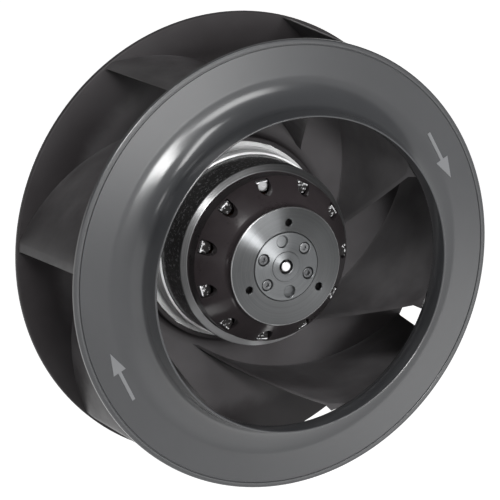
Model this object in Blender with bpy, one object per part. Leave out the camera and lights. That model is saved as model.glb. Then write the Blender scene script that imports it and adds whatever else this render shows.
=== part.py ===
"""Backward-curved plug fan on an external rotor motor.

Everything is built around one local axis: local z = 0 is the mounting face of
the motor flange and local +z points out of the inlet. The empty fan_axis lays
that axis along the world's -Y, so the inlet faces -Y and the flange faces +Y.
Angles run anticlockwise as seen from the inlet, and the fan runs clockwise.
"""

import math

import bmesh
import bpy
from mathutils import Matrix

MM = 0.001

# Fits
SEAT = 0.3 * MM
WINDOW_GAP = 0.6 * MM
RUNNING_GAP = 1.6 * MM
AIR_GAP = 0.7 * MM
CUT_PAST = 1.0 * MM

# Impeller
DISC_RADIUS = 125.0 * MM
DISC_THICKNESS = 3.0 * MM
DISC_SETBACK = 14.5 * MM
DISC_EDGE = 0.8 * MM
SHROUD_RADIUS = 122.5 * MM
SHROUD_SHEET = 2.3 * MM
SHROUD_FILLET = 11.5 * MM
THROAT_RADIUS = 84.8 * MM
THROAT_HEIGHT = 20.1 * MM
PASSAGE_WIDTH = 68.2 * MM
RIM_BEAD_WIDTH = 1.9 * MM
RIM_BEAD_HEIGHT = 0.35 * MM
RIM_GROOVE_WIDTH = 0.8 * MM
RIM_GROOVE_DEPTH = 0.5 * MM
LIP_ROUNDING = 0.5 * MM
COLLAR_WALL = 2.5 * MM
COLLAR_HEIGHT = 7.0 * MM
COLLAR_FILLET = 3.0 * MM

# Blades: circular arcs set by their angles at the hub and at the shroud radius
BLADE_COUNT = 7
BLADE_FIRST_ANGLE = math.radians(20.2)
BLADE_INLET_ANGLE = math.radians(19.36)
BLADE_OUTLET_ANGLE = math.radians(24.3)
BLADE_HUB_RADIUS = 63.0 * MM
BLADE_THROAT_INSET = 0.7 * MM
BLADE_EDGE_INSET = 0.6 * MM
BLADE_DISC_INSET = 0.9 * MM
BLADE_LEADING_THICKNESS = 1.0 * MM
BLADE_MIDDLE_THICKNESS = 3.4 * MM
BLADE_TRAILING_THICKNESS = 2.2 * MM
BLADE_ROOT_FLARE = 1.8 * MM
BLADE_ROOT_SPAN = 0.03
BLADE_FOOT_FLARE = 3.2 * MM
BLADE_FOOT_SPAN = 0.08
BLADE_FOOT_CHORD = 0.2

# Rotor
ROTOR_RADIUS = 50.3 * MM
ROTOR_BORE = 37.3 * MM
STACK_LENGTH = 36.0 * MM
STACK_REAR = 26.3 * MM
STACK_EDGE = 0.5 * MM
END_RING_HEIGHT = 4.0 * MM
END_RING_INNER = 36.6 * MM
END_RING_STEP = 1.0 * MM
RING_BAND_WALL = 1.3 * MM
RING_BAND_SETBACK = 22.8 * MM
RING_CHAMFER = 0.6 * MM
RING_BAND_LENGTH = 9.5 * MM
RING_GROOVE_WIDTH = 1.3 * MM
RING_GROOVE_DEPTH = 0.8 * MM
RING_FLARE_HEIGHT = 4.0 * MM
RING_FLARE_REACH = 4.1 * MM

# Rotor cap and hub
CAP_SKIRT_RADIUS = 45.8 * MM
CAP_SKIRT_WALL = 1.8 * MM
CAP_SKIRT_HEIGHT = 7.9 * MM
CAP_WALL = 4.2 * MM
CAP_HEIGHT = 24.9 * MM
BOSS_RADIUS = 32.6 * MM
BOSS_EDGE = 0.9 * MM
BOSS_HEIGHT = 3.8 * MM
PLATE_RADIUS = 18.8 * MM
PLATE_THICKNESS = 5.0 * MM
PLATE_STEP = 0.4 * MM
PLATE_FLOOR = 4.0 * MM
PLATE_RING_RADIUS = 8.3 * MM
PLATE_RING_STEP = 0.3 * MM
SLEEVE_RADIUS = 6.4 * MM
TAPPED_COUNT = 3
TAPPED_CIRCLE = 24.0 * MM
TAPPED_RADIUS = 2.0 * MM
TAPPED_DEPTH = 3.2 * MM
TAPPED_ANGLE = math.radians(85.8)

# Cage nubs seen through the windows of the cap
NUB_COUNT = 11
NUB_ANGLE = math.radians(98.3)
NUB_WIDTH = 6.6 * MM
NUB_FLAT_RADIUS = 44.3 * MM
NUB_LENGTH = 6.0 * MM
NUB_HEIGHT = 5.2 * MM
NUB_ROOT = 1.0 * MM

# Hub screws
SCREW_SEAT_COUNT = 6
SCREW_CIRCLE = 14.2 * MM
SCREW_ANGLE = math.radians(98.8)
SCREW_POSITIONS = (1, 2, 4, 5)
SCREW_HEAD_RADIUS = 2.9 * MM
SCREW_HEAD_HEIGHT = 2.0 * MM
SCREW_HEAD_SINK = 0.5 * MM
SCREW_HEAD_EDGE = 0.4 * MM
SCREW_SHANK_RADIUS = 1.5 * MM
SCREW_GRIP = 3.4 * MM
BLANK_DEPTH = 1.2 * MM

# Shaft and bearings
SHAFT_RADIUS = 3.7 * MM
SHAFT_NOSE_RADIUS = 2.8 * MM
SHAFT_NOSE_LENGTH = 3.0 * MM
SHAFT_TIP_SINK = 0.3 * MM
SHAFT_CHAMFER = 0.5 * MM
SHAFT_TAIL = 1.7 * MM
CLIP_GROOVE_DEPTH = 0.7 * MM
CLIP_THICKNESS = 1.0 * MM
CLIP_RADIUS = 5.6 * MM
BEARING_RADIUS = 11.0 * MM
BEARING_WIDTH = 7.0 * MM
BEARING_OUTER_RACE = 9.3 * MM
BEARING_INNER_RACE = 6.0 * MM
RACE_DEPTH = 0.6 * MM
RACE_HALF_WIDTH = 1.8 * MM
BALL_COUNT = 7
BALL_RADIUS = 1.9 * MM
CAGE_WALL = 1.0 * MM
CAGE_HEIGHT = 2.2 * MM
REAR_BEARING_Z = 8.0 * MM
FRONT_BEARING_Z = 66.5 * MM
WASHER_HEIGHT = 2.4 * MM
WASHER_WALL = 1.6 * MM
WASHER_SHEET = 0.6 * MM
WAVE_COUNT = 3
WAVE_FACETS = 6
TUBE_SHOULDER = 1.8 * MM
TUBE_WALL = 2.7 * MM

# Motor flange
FLANGE_EDGE = 1.5 * MM
FLANGE_PLATE = 4.5 * MM
FLANGE_WALL = 2.5 * MM
FLANGE_HEIGHT = 17.5 * MM
FLANGE_FILLET = 2.0 * MM
FLANGE_RECESS_INNER = 20.0 * MM
FLANGE_RECESS_OUTER = 30.0 * MM
FLANGE_RECESS_DEPTH = 1.2 * MM
MOUNT_COUNT = 4
MOUNT_CIRCLE = 38.0 * MM
MOUNT_ANGLE = math.radians(45.0)
MOUNT_HOLE_RADIUS = 2.5 * MM
MOUNT_HOLE_DEPTH = 9.0 * MM
MOUNT_BOSS_RADIUS = 5.5 * MM
MOUNT_BOSS_HEIGHT = 11.5 * MM
COVER_RADIUS = 16.7 * MM
COVER_THICKNESS = 2.2 * MM
COVER_RIM = 1.5 * MM
COVER_DISH = 0.8 * MM
GLAND_Z = 8.0 * MM
GLAND_ANGLE = math.radians(-90.0)
GLAND_BODY_RADIUS = 3.2 * MM
GLAND_COLLAR_RADIUS = 4.6 * MM
GLAND_COLLAR_LENGTH = 2.2 * MM
GLAND_NOSE_LENGTH = 5.0 * MM
GLAND_BORE_RADIUS = 2.3 * MM

# Stator
SLOT_COUNT = 12
SLOT_WIDTH = 5.0 * MM
SLOT_FLOOR = 20.0 * MM
STATOR_LENGTH = 36.0 * MM
END_TURN_INNER = 20.6 * MM
END_TURN_HEIGHT = 9.0 * MM
END_TURN_INSET = 1.2 * MM
END_TURN_EDGE = 2.2 * MM
END_TURN_ROOT = 3.0 * MM

# Facets around the axis
FINE = 44
MIDDLE = 33
COARSE = 28
SMALL = 16
TINY = 12
INNER_FACETS = 24
BEARING_FACETS = 14

# Steps along the curves of the profiles
FILLET_STEPS = 4
COLLAR_STEPS = 2
FLARE_STEPS = 3
BLADE_OUTER_STEPS = 4
NUB_STEPS = 4
TOOTH_STEPS = 2
SHARP_ANGLE = 35.0
MERGE = 1e-6

# Heights that follow from the sizes above
DISC_FRONT = DISC_SETBACK + DISC_THICKNESS
SHROUD_UNDER = DISC_FRONT + PASSAGE_WIDTH
RIM_PLANE = SHROUD_UNDER + SHROUD_SHEET
LIP_TOP = RIM_PLANE + THROAT_HEIGHT
FILLET_RADIUS_AT = THROAT_RADIUS + SHROUD_SHEET + SHROUD_FILLET
FILLET_HEIGHT_AT = RIM_PLANE + SHROUD_FILLET
STACK_FRONT = STACK_REAR + STACK_LENGTH
CAP_FOOT = STACK_FRONT + SEAT
BOSS_TOP = STACK_FRONT + CAP_HEIGHT
PLATE_TOP = BOSS_TOP + PLATE_STEP
PLATE_UNDER = PLATE_TOP - PLATE_THICKNESS
PLATE_SEAT = PLATE_UNDER - SEAT
CAP_CEILING = PLATE_SEAT - PLATE_FLOOR
RING_TOP = STACK_FRONT - RING_BAND_SETBACK
RING_RADIUS = ROTOR_RADIUS + SEAT + RING_FLARE_REACH
COLLAR_BORE = RING_RADIUS + SEAT
FLANGE_RADIUS = ROTOR_RADIUS + SEAT - RUNNING_GAP
STATOR_RADIUS = ROTOR_BORE - AIR_GAP
STATOR_REAR = STACK_REAR + (STACK_LENGTH - STATOR_LENGTH) / 2.0 - AIR_GAP
STATOR_FRONT = STATOR_REAR + STATOR_LENGTH
TUBE_BORE = BEARING_RADIUS + SEAT
TUBE_RADIUS = TUBE_BORE + TUBE_WALL
PLATE_BORE = SHAFT_RADIUS + SEAT
SHAFT_TIP = PLATE_TOP + PLATE_RING_STEP - SHAFT_TIP_SINK
OUTLET_REACH = SHROUD_RADIUS * math.cos(BLADE_OUTLET_ANGLE)
INLET_REACH = BLADE_HUB_RADIUS * math.cos(BLADE_INLET_ANGLE)
BLADE_ARC_RADIUS = (SHROUD_RADIUS**2 - BLADE_HUB_RADIUS**2) / (2.0 * (OUTLET_REACH - INLET_REACH))


def clear_scene():
    for item in list(bpy.data.objects):
        bpy.data.objects.remove(item, do_unlink=True)


def make_material(name, colour, roughness, metallic):
    material = bpy.data.materials.new(name)
    material.use_nodes = True
    shader = material.node_tree.nodes["Principled BSDF"]
    shader.inputs["Base Color"].default_value = (*colour, 1.0)
    shader.inputs["Roughness"].default_value = roughness
    shader.inputs["Metallic"].default_value = metallic
    return material


def polar(radius, angle):
    return radius * math.cos(angle), radius * math.sin(angle)


def arc(centre, radius, start, end, steps):
    """Points (r, z) along a circular arc, both ends included; angles in degrees."""
    points = []
    for step in range(steps + 1):
        angle = math.radians(start + (end - start) * step / steps)
        points.append((centre[0] + radius * math.cos(angle), centre[1] + radius * math.sin(angle)))
    return points


def finish_mesh(bm, name, sharp_angle):
    bmesh.ops.remove_doubles(bm, verts=bm.verts, dist=MERGE)
    bmesh.ops.recalc_face_normals(bm, faces=bm.faces)
    mesh = bpy.data.meshes.new(name)
    bm.to_mesh(mesh)
    bm.free()
    mesh.shade_smooth()
    mesh.set_sharp_from_angle(angle=math.radians(sharp_angle))
    return mesh


def revolve_mesh(name, profile, segments, sharp_angle=SHARP_ANGLE):
    """Solid of revolution about local z from a closed outline of (r, z) points."""
    bm = bmesh.new()
    verts = [bm.verts.new((r, 0.0, z)) for r, z in profile]
    edges = [bm.edges.new((verts[i], verts[(i + 1) % len(verts)])) for i in range(len(verts))]
    bmesh.ops.spin(
        bm,
        geom=verts + edges,
        cent=(0.0, 0.0, 0.0),
        axis=(0.0, 0.0, 1.0),
        angle=2.0 * math.pi,
        steps=segments,
        use_merge=True,
        use_duplicate=False,
    )
    bmesh.ops.remove_doubles(bm, verts=bm.verts, dist=MERGE)
    bmesh.ops.dissolve_degenerate(bm, dist=MERGE, edges=bm.edges)
    return finish_mesh(bm, name, sharp_angle)


def prism(bm, outline, bottom, top):
    """Adds the closed outline of (x, y) points, extruded from bottom to top."""
    floor = bm.faces.new([bm.verts.new((x, y, bottom)) for x, y in outline])
    grown = bmesh.ops.extrude_face_region(bm, geom=[floor])
    raised = [item for item in grown["geom"] if isinstance(item, bmesh.types.BMVert)]
    bmesh.ops.translate(bm, verts=raised, vec=(0.0, 0.0, top - bottom))


def circle_outline(centre, radius, segments):
    outline = []
    for step in range(segments):
        x, y = polar(radius, 2.0 * math.pi * step / segments)
        outline.append((centre[0] + x, centre[1] + y))
    return outline


def add_object(name, mesh, axis, material=None, angle=0.0):
    thing = bpy.data.objects.new(name, mesh)
    bpy.context.scene.collection.objects.link(thing)
    thing.parent = axis
    thing.rotation_euler = (0.0, 0.0, angle)
    if material is not None and not mesh.materials:
        mesh.materials.append(material)
    return thing


def add_cutter(name, mesh, axis):
    cutter = add_object(name, mesh, axis)
    cutter.display_type = "WIRE"
    cutter.hide_render = True
    return cutter


def combine(target, other, operation, label):
    modifier = target.modifiers.new(label, "BOOLEAN")
    modifier.operation = operation
    modifier.solver = "EXACT"
    modifier.object = other


def pattern_mesh(name, count, first_angle, make_outline, spans):
    """Prisms repeated round the axis; spans holds each one's bottom and top."""
    bm = bmesh.new()
    for index in range(count):
        if spans[index] is None:
            continue
        turn = first_angle + 2.0 * math.pi * index / count
        outline = []
        for x, y in make_outline():
            cosine, sine = math.cos(turn), math.sin(turn)
            outline.append((x * cosine - y * sine, x * sine + y * cosine))
        prism(bm, outline, *spans[index])
    return finish_mesh(bm, name, SHARP_ANGLE)


# Impeller


def shroud_profile():
    """Inlet shroud: straight throat, fillet, flat annulus and beaded rim."""
    outer_throat = THROAT_RADIUS + SHROUD_SHEET
    centre = (FILLET_RADIUS_AT, FILLET_HEIGHT_AT)
    bead_inner = SHROUD_RADIUS - RIM_BEAD_WIDTH
    groove_inner = bead_inner - RIM_GROOVE_WIDTH
    profile = [(THROAT_RADIUS, LIP_TOP - LIP_ROUNDING), (THROAT_RADIUS + LIP_ROUNDING, LIP_TOP)]
    profile += [(outer_throat - LIP_ROUNDING, LIP_TOP), (outer_throat, LIP_TOP - LIP_ROUNDING)]
    profile += arc(centre, SHROUD_FILLET, 180.0, 270.0, FILLET_STEPS)
    profile.append((groove_inner, RIM_PLANE))
    profile.append((groove_inner + RIM_GROOVE_WIDTH / 2.0, RIM_PLANE - RIM_GROOVE_DEPTH))
    profile.append((bead_inner, RIM_PLANE + RIM_BEAD_HEIGHT))
    profile.append((SHROUD_RADIUS - LIP_ROUNDING, RIM_PLANE + RIM_BEAD_HEIGHT))
    profile.append((SHROUD_RADIUS, RIM_PLANE + RIM_BEAD_HEIGHT - LIP_ROUNDING))
    profile.append((SHROUD_RADIUS, SHROUD_UNDER))
    profile += arc(centre, SHROUD_FILLET + SHROUD_SHEET, 270.0, 180.0, FILLET_STEPS)
    return profile


def disc_profile():
    """Back disc: flat web, rounded edge and the collar that sits on the rotor ring."""
    collar_outer = COLLAR_BORE + COLLAR_WALL
    collar_top = DISC_FRONT + COLLAR_HEIGHT
    fillet_centre = (collar_outer + COLLAR_FILLET, DISC_FRONT + COLLAR_FILLET)
    profile = [(COLLAR_BORE, DISC_SETBACK), (COLLAR_BORE, collar_top)]
    profile += [(collar_outer - DISC_EDGE, collar_top), (collar_outer, collar_top - DISC_EDGE)]
    profile += arc(fillet_centre, COLLAR_FILLET, 180.0, 270.0, COLLAR_STEPS)
    profile.append((DISC_RADIUS - DISC_EDGE, DISC_FRONT))
    profile.append((DISC_RADIUS, DISC_FRONT - DISC_EDGE))
    profile.append((DISC_RADIUS, DISC_SETBACK))
    return profile


def blade_angle(radius, arc_radius):
    """Angle round the axis at which a blade side of this arc radius has this radius."""
    centre_x = SHROUD_RADIUS - BLADE_ARC_RADIUS * math.cos(BLADE_OUTLET_ANGLE)
    centre_y = BLADE_ARC_RADIUS * math.sin(BLADE_OUTLET_ANGLE)
    distance = math.hypot(centre_x, centre_y)
    cosine = (radius**2 - arc_radius**2 + distance**2) / (2.0 * distance * radius)
    return math.atan2(centre_y, centre_x) - math.acos(max(-1.0, min(1.0, cosine)))


def shroud_clearance_height(radius):
    """Height of a blade tip under the shroud at this radius."""
    reach = SHROUD_FILLET + SHROUD_SHEET + SEAT
    inward = max(0.0, FILLET_RADIUS_AT - radius)
    drop = math.sqrt(max(0.0, reach**2 - inward**2))
    return FILLET_HEIGHT_AT - drop


def tip_radii():
    """Radii of the blade tip's points: even steps round the fillet, then outwards."""
    reach = SHROUD_FILLET + SHROUD_SHEET + SEAT
    first = THROAT_RADIUS + BLADE_THROAT_INSET
    start = math.acos((FILLET_RADIUS_AT - first) / reach)
    radii = []
    for step in range(FILLET_STEPS):
        angle = start + (math.pi / 2.0 - start) * step / FILLET_STEPS
        radii.append(FILLET_RADIUS_AT - reach * math.cos(angle))
    last = SHROUD_RADIUS - BLADE_EDGE_INSET
    for step in range(BLADE_OUTER_STEPS + 1):
        radii.append(FILLET_RADIUS_AT + (last - FILLET_RADIUS_AT) * step / BLADE_OUTER_STEPS)
    return radii


def blade_thickness(chord, span):
    """Thickness at a share of the chord and of the span, with root and foot flares."""
    if chord < 0.5:
        bow = math.sin(math.pi * chord)
        base = BLADE_LEADING_THICKNESS + (BLADE_MIDDLE_THICKNESS - BLADE_LEADING_THICKNESS) * bow
    else:
        bow = math.sin(math.pi * (1.0 - chord))
        base = BLADE_TRAILING_THICKNESS + (BLADE_MIDDLE_THICKNESS - BLADE_TRAILING_THICKNESS) * bow
    root = BLADE_ROOT_FLARE * max(0.0, 1.0 - span / BLADE_ROOT_SPAN)
    near_tip = max(0.0, (span - 1.0 + BLADE_FOOT_SPAN) / BLADE_FOOT_SPAN)
    near_edge = max(0.0, 1.0 - chord / BLADE_FOOT_CHORD)
    return base + root + BLADE_FOOT_FLARE * near_tip * near_edge


def blade_point(side, chord, span, tip_radius):
    """Corner of one blade side: loft from the disc to the shroud along the span."""
    root_tip = DISC_RADIUS - BLADE_DISC_INSET
    root_radius = BLADE_HUB_RADIUS + (root_tip - BLADE_HUB_RADIUS) * chord
    radius = root_radius + (tip_radius - root_radius) * span
    foot = DISC_FRONT + SEAT
    height = foot + (shroud_clearance_height(tip_radius) - foot) * span
    half = blade_thickness(chord, span) / 2.0
    x, y = polar(radius, blade_angle(radius, BLADE_ARC_RADIUS + side * half))
    return x, y, height


def blade_mesh():
    """One blade: two curved sides lofted from disc to shroud and closed all round."""
    radii = tip_radii()
    chords = [(radius - radii[0]) / (radii[-1] - radii[0]) for radius in radii]
    spans = (0.0, BLADE_ROOT_SPAN, 0.5, 1.0 - BLADE_FOOT_SPAN, 1.0)
    bm = bmesh.new()
    grids = []
    for side in (-1.0, 1.0):
        rows = []
        for span in spans:
            row = []
            for chord, radius in zip(chords, radii):
                row.append(bm.verts.new(blade_point(side, chord, span, radius)))
            rows.append(row)
        grids.append(rows)
    inner, outer = grids
    last = len(radii) - 1
    for row in range(len(spans) - 1):
        for column in range(last):
            for grid in grids:
                corners = (grid[row][column], grid[row][column + 1])
                corners += (grid[row + 1][column + 1], grid[row + 1][column])
                bm.faces.new(corners)
        for column in (0, last):
            corners = (inner[row][column], outer[row][column])
            corners += (outer[row + 1][column], inner[row + 1][column])
            bm.faces.new(corners)
    for row in (0, len(spans) - 1):
        for column in range(last):
            corners = (inner[row][column], inner[row][column + 1])
            corners += (outer[row][column + 1], outer[row][column])
            bm.faces.new(corners)
    bmesh.ops.triangulate(bm, faces=bm.faces)
    return finish_mesh(bm, "blade", SHARP_ANGLE)


def build_impeller(axis):
    plastic = make_material("impeller_plastic", (0.085, 0.086, 0.09), 0.42, 0.0)
    moulded = make_material("shroud_plastic", (0.12, 0.122, 0.127), 0.38, 0.0)
    add_object("shroud", revolve_mesh("shroud", shroud_profile(), FINE), axis, moulded)
    add_object("back_disc", revolve_mesh("back_disc", disc_profile(), FINE), axis, plastic)
    blade = blade_mesh()
    for index in range(BLADE_COUNT):
        angle = BLADE_FIRST_ANGLE + 2.0 * math.pi * index / BLADE_COUNT
        add_object("blade_%d" % (index + 1), blade, axis, plastic, angle)


# Rotor


def ring_profile():
    """Bright ring on the rotor: plain band, groove, flare and the seat of the impeller."""
    bore = ROTOR_RADIUS + SEAT
    band = bore + RING_BAND_WALL
    band_foot = RING_TOP - RING_BAND_LENGTH
    groove_foot = band_foot - RING_GROOVE_WIDTH
    flare_foot = groove_foot - RING_FLARE_HEIGHT
    foot = DISC_SETBACK + SEAT
    profile = [(bore, foot), (bore, RING_TOP), (band, RING_TOP - RING_CHAMFER), (band, band_foot)]
    profile += [(band - RING_GROOVE_DEPTH, band_foot), (band - RING_GROOVE_DEPTH, groove_foot)]
    for step in range(FLARE_STEPS + 1):
        share = step / FLARE_STEPS
        radius = band + (RING_RADIUS - band) * share**2
        profile.append((radius, groove_foot + (flare_foot - groove_foot) * share))
    profile.append((RING_RADIUS, foot))
    return profile


def cap_profile():
    """Rotor cap: skirt, sloping roof with an even wall, and the boss with its recess."""
    roof_foot = CAP_FOOT + CAP_SKIRT_HEIGHT
    roof_top = BOSS_TOP - BOSS_HEIGHT
    skirt_bore = CAP_SKIRT_RADIUS - CAP_SKIRT_WALL
    slope = (roof_top - roof_foot) / (CAP_SKIRT_RADIUS - BOSS_RADIUS)
    ceiling_foot = roof_foot + slope * CAP_SKIRT_WALL - CAP_WALL
    ceiling_radius = skirt_bore - (CAP_CEILING - ceiling_foot) / slope
    bore = SLEEVE_RADIUS + SEAT
    recess = PLATE_RADIUS + SEAT
    profile = [(skirt_bore, CAP_FOOT), (CAP_SKIRT_RADIUS, CAP_FOOT)]
    profile += [(CAP_SKIRT_RADIUS, roof_foot - BOSS_EDGE), (CAP_SKIRT_RADIUS - BOSS_EDGE, roof_foot)]
    profile += [(BOSS_RADIUS, roof_top), (BOSS_RADIUS, BOSS_TOP - BOSS_EDGE)]
    profile += [(BOSS_RADIUS - BOSS_EDGE, BOSS_TOP), (recess, BOSS_TOP)]
    profile += [(recess, PLATE_SEAT), (bore, PLATE_SEAT), (bore, CAP_CEILING)]
    profile += [(ceiling_radius, CAP_CEILING), (skirt_bore, ceiling_foot)]
    return profile


def nub_outline(grow):
    """D outline with its flat outwards; grow widens it to the window around it."""

    def make():
        half = NUB_WIDTH / 2.0 + grow
        flat = NUB_FLAT_RADIUS + grow
        centre = NUB_FLAT_RADIUS - NUB_LENGTH + NUB_WIDTH / 2.0
        points = [(flat, -half), (flat, half)]
        for step in range(NUB_STEPS + 1):
            angle = math.pi / 2.0 + math.pi * step / NUB_STEPS
            x, y = polar(half, angle)
            points.append((centre + x, y))
        return points

    return make


def build_cap(axis):
    black = make_material("rotor_black", (0.022, 0.021, 0.021), 0.4, 0.3)
    cap = add_object("rotor_cap", revolve_mesh("rotor_cap", cap_profile(), MIDDLE), axis, black)
    ring_top = CAP_FOOT + END_RING_HEIGHT
    span = (ring_top - SEAT, BOSS_TOP)
    spans = [span] * NUB_COUNT
    windows = pattern_mesh("window_cutter", NUB_COUNT, NUB_ANGLE, nub_outline(WINDOW_GAP), spans)
    combine(cap, add_cutter("window_cutter", windows, axis), "DIFFERENCE", "windows")

    def tapped():
        return circle_outline((TAPPED_CIRCLE, 0.0), TAPPED_RADIUS, TINY)

    span = (BOSS_TOP - TAPPED_DEPTH, BOSS_TOP + CUT_PAST)
    holes = pattern_mesh("tapped_cutter", TAPPED_COUNT, TAPPED_ANGLE, tapped, [span] * TAPPED_COUNT)
    combine(cap, add_cutter("tapped_cutter", holes, axis), "DIFFERENCE", "tapped_holes")

    def thread_hole():
        return circle_outline((SCREW_CIRCLE, 0.0), SCREW_SHANK_RADIUS + SEAT, TINY)

    spans = [None] * SCREW_SEAT_COUNT
    for position in SCREW_POSITIONS:
        spans[position] = (CAP_CEILING - CUT_PAST, PLATE_SEAT + CUT_PAST)
    holes = pattern_mesh("thread_cutter", SCREW_SEAT_COUNT, SCREW_ANGLE, thread_hole, spans)
    combine(cap, add_cutter("thread_cutter", holes, axis), "DIFFERENCE", "thread_holes")


def build_rotor(axis):
    steel = make_material("rotor_steel", (0.05, 0.05, 0.052), 0.6, 0.5)
    aluminium = make_material("rotor_aluminium", (0.72, 0.73, 0.74), 0.28, 1.0)
    cast = make_material("cage_aluminium", (0.7, 0.7, 0.71), 0.4, 1.0)
    stack = [(ROTOR_BORE, STACK_REAR), (ROTOR_RADIUS, STACK_REAR)]
    stack += [(ROTOR_RADIUS, STACK_FRONT - STACK_EDGE), (ROTOR_RADIUS - STACK_EDGE, STACK_FRONT)]
    stack.append((ROTOR_BORE, STACK_FRONT))
    add_object("rotor_stack", revolve_mesh("rotor_stack", stack, MIDDLE), axis, steel)
    add_object("rotor_ring", revolve_mesh("rotor_ring", ring_profile(), FINE), axis, aluminium)
    outer = CAP_SKIRT_RADIUS - CAP_SKIRT_WALL - SEAT
    top = CAP_FOOT + END_RING_HEIGHT
    front = [(END_RING_INNER, CAP_FOOT), (outer, CAP_FOOT), (outer, top), (END_RING_INNER, top)]
    ring = add_object("cage_ring_front", revolve_mesh("cage_ring_front", front, MIDDLE), axis, cast)
    span = (top - NUB_ROOT, top + NUB_HEIGHT)
    nubs = pattern_mesh("nub_guide", NUB_COUNT, NUB_ANGLE, nub_outline(0.0), [span] * NUB_COUNT)
    trim_nub_skirt(nubs, outer, top)
    combine(ring, add_cutter("nub_guide", nubs, axis), "UNION", "nubs")
    rear_outer = ROTOR_RADIUS - END_RING_STEP
    rear_top = STACK_REAR - SEAT
    rear_foot = rear_top - END_RING_HEIGHT
    rear = [(ROTOR_BORE, rear_foot), (rear_outer, rear_foot)]
    rear += [(rear_outer, rear_top), (ROTOR_BORE, rear_top)]
    add_object("cage_ring_rear", revolve_mesh("cage_ring_rear", rear, INNER_FACETS), axis, cast)


def trim_nub_skirt(mesh, ring_outer, ring_top):
    """Pulls the sunk foot of each nub in, so that only its top overhangs the ring."""
    for vertex in mesh.vertices:
        radius = math.hypot(vertex.co.x, vertex.co.y)
        limit = ring_outer - SEAT
        if vertex.co.z < ring_top and radius > limit:
            vertex.co.x *= limit / radius
            vertex.co.y *= limit / radius


def build_hub(axis):
    turned = make_material("hub_metal", (0.34, 0.345, 0.35), 0.38, 0.85)
    sleeve_foot = FRONT_BEARING_Z + BEARING_WIDTH + SEAT
    ring_top = PLATE_TOP + PLATE_RING_STEP
    profile = [(PLATE_BORE, sleeve_foot), (SLEEVE_RADIUS, sleeve_foot), (SLEEVE_RADIUS, PLATE_UNDER)]
    profile += [(PLATE_RADIUS, PLATE_UNDER), (PLATE_RADIUS, PLATE_TOP - PLATE_STEP)]
    profile += [(PLATE_RADIUS - PLATE_STEP, PLATE_TOP), (PLATE_RING_RADIUS, PLATE_TOP)]
    profile += [(PLATE_RING_RADIUS - PLATE_RING_STEP, ring_top), (PLATE_BORE, ring_top)]
    plate = add_object("hub_plate", revolve_mesh("hub_plate", profile, COARSE), axis, turned)
    head_floor = PLATE_TOP - SCREW_HEAD_SINK - SCREW_HEAD_HEIGHT - SEAT
    spans = [(PLATE_TOP - BLANK_DEPTH, PLATE_TOP + CUT_PAST)] * SCREW_SEAT_COUNT
    through = [None] * SCREW_SEAT_COUNT
    for position in SCREW_POSITIONS:
        spans[position] = (head_floor, PLATE_TOP + CUT_PAST)
        through[position] = (PLATE_UNDER - CUT_PAST, head_floor + SEAT)

    def seat():
        return circle_outline((SCREW_CIRCLE, 0.0), SCREW_HEAD_RADIUS + SEAT, TINY)

    def shank():
        return circle_outline((SCREW_CIRCLE, 0.0), SCREW_SHANK_RADIUS + SEAT, TINY)

    seats = pattern_mesh("seat_cutter", SCREW_SEAT_COUNT, SCREW_ANGLE, seat, spans)
    combine(plate, add_cutter("seat_cutter", seats, axis), "DIFFERENCE", "screw_seats")
    shanks = pattern_mesh("shank_cutter", SCREW_SEAT_COUNT, SCREW_ANGLE, shank, through)
    combine(plate, add_cutter("shank_cutter", shanks, axis), "DIFFERENCE", "screw_holes")


def build_screws(axis):
    steel = make_material("screw_steel", (0.3, 0.3, 0.31), 0.3, 1.0)
    top = PLATE_TOP - SCREW_HEAD_SINK
    under = top - SCREW_HEAD_HEIGHT
    foot = PLATE_SEAT - SCREW_GRIP
    profile = [(0.0, foot), (SCREW_SHANK_RADIUS, foot), (SCREW_SHANK_RADIUS, under)]
    profile += [(SCREW_HEAD_RADIUS, under), (SCREW_HEAD_RADIUS, top - SCREW_HEAD_EDGE)]
    profile += [(SCREW_HEAD_RADIUS - SCREW_HEAD_EDGE, top), (0.0, top)]
    mesh = revolve_mesh("hub_screw", profile, TINY)
    mesh.materials.append(steel)
    for number, position in enumerate(SCREW_POSITIONS, start=1):
        angle = SCREW_ANGLE + 2.0 * math.pi * position / SCREW_SEAT_COUNT
        screw = add_object("hub_screw_%d" % number, mesh, axis)
        screw.location = (*polar(SCREW_CIRCLE, angle), 0.0)


# Shaft and bearings


def shaft_profile():
    nose_foot = SHAFT_TIP - SHAFT_NOSE_LENGTH
    groove_foot = REAR_BEARING_Z - 2.0 * SEAT - CLIP_THICKNESS
    tail = groove_foot - SHAFT_TAIL
    groove = SHAFT_RADIUS - CLIP_GROOVE_DEPTH
    profile = [(0.0, tail), (SHAFT_RADIUS - SHAFT_CHAMFER, tail), (SHAFT_RADIUS, tail + SHAFT_CHAMFER)]
    profile += [(SHAFT_RADIUS, groove_foot), (groove, groove_foot), (groove, REAR_BEARING_Z)]
    profile += [(SHAFT_RADIUS, REAR_BEARING_Z), (SHAFT_RADIUS, nose_foot)]
    profile += [(SHAFT_NOSE_RADIUS, nose_foot), (SHAFT_NOSE_RADIUS, SHAFT_TIP - SHAFT_CHAMFER)]
    profile += [(SHAFT_NOSE_RADIUS - SHAFT_CHAMFER, SHAFT_TIP), (0.0, SHAFT_TIP)]
    return profile


def outer_ring_profile(foot):
    middle = foot + BEARING_WIDTH / 2.0
    race = BEARING_OUTER_RACE + RACE_DEPTH
    profile = [(BEARING_RADIUS, foot), (BEARING_RADIUS, foot + BEARING_WIDTH)]
    profile += [(BEARING_OUTER_RACE, foot + BEARING_WIDTH), (BEARING_OUTER_RACE, middle + RACE_HALF_WIDTH)]
    profile += [(race, middle)]
    profile += [(BEARING_OUTER_RACE, middle - RACE_HALF_WIDTH), (BEARING_OUTER_RACE, foot)]
    return profile


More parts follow.
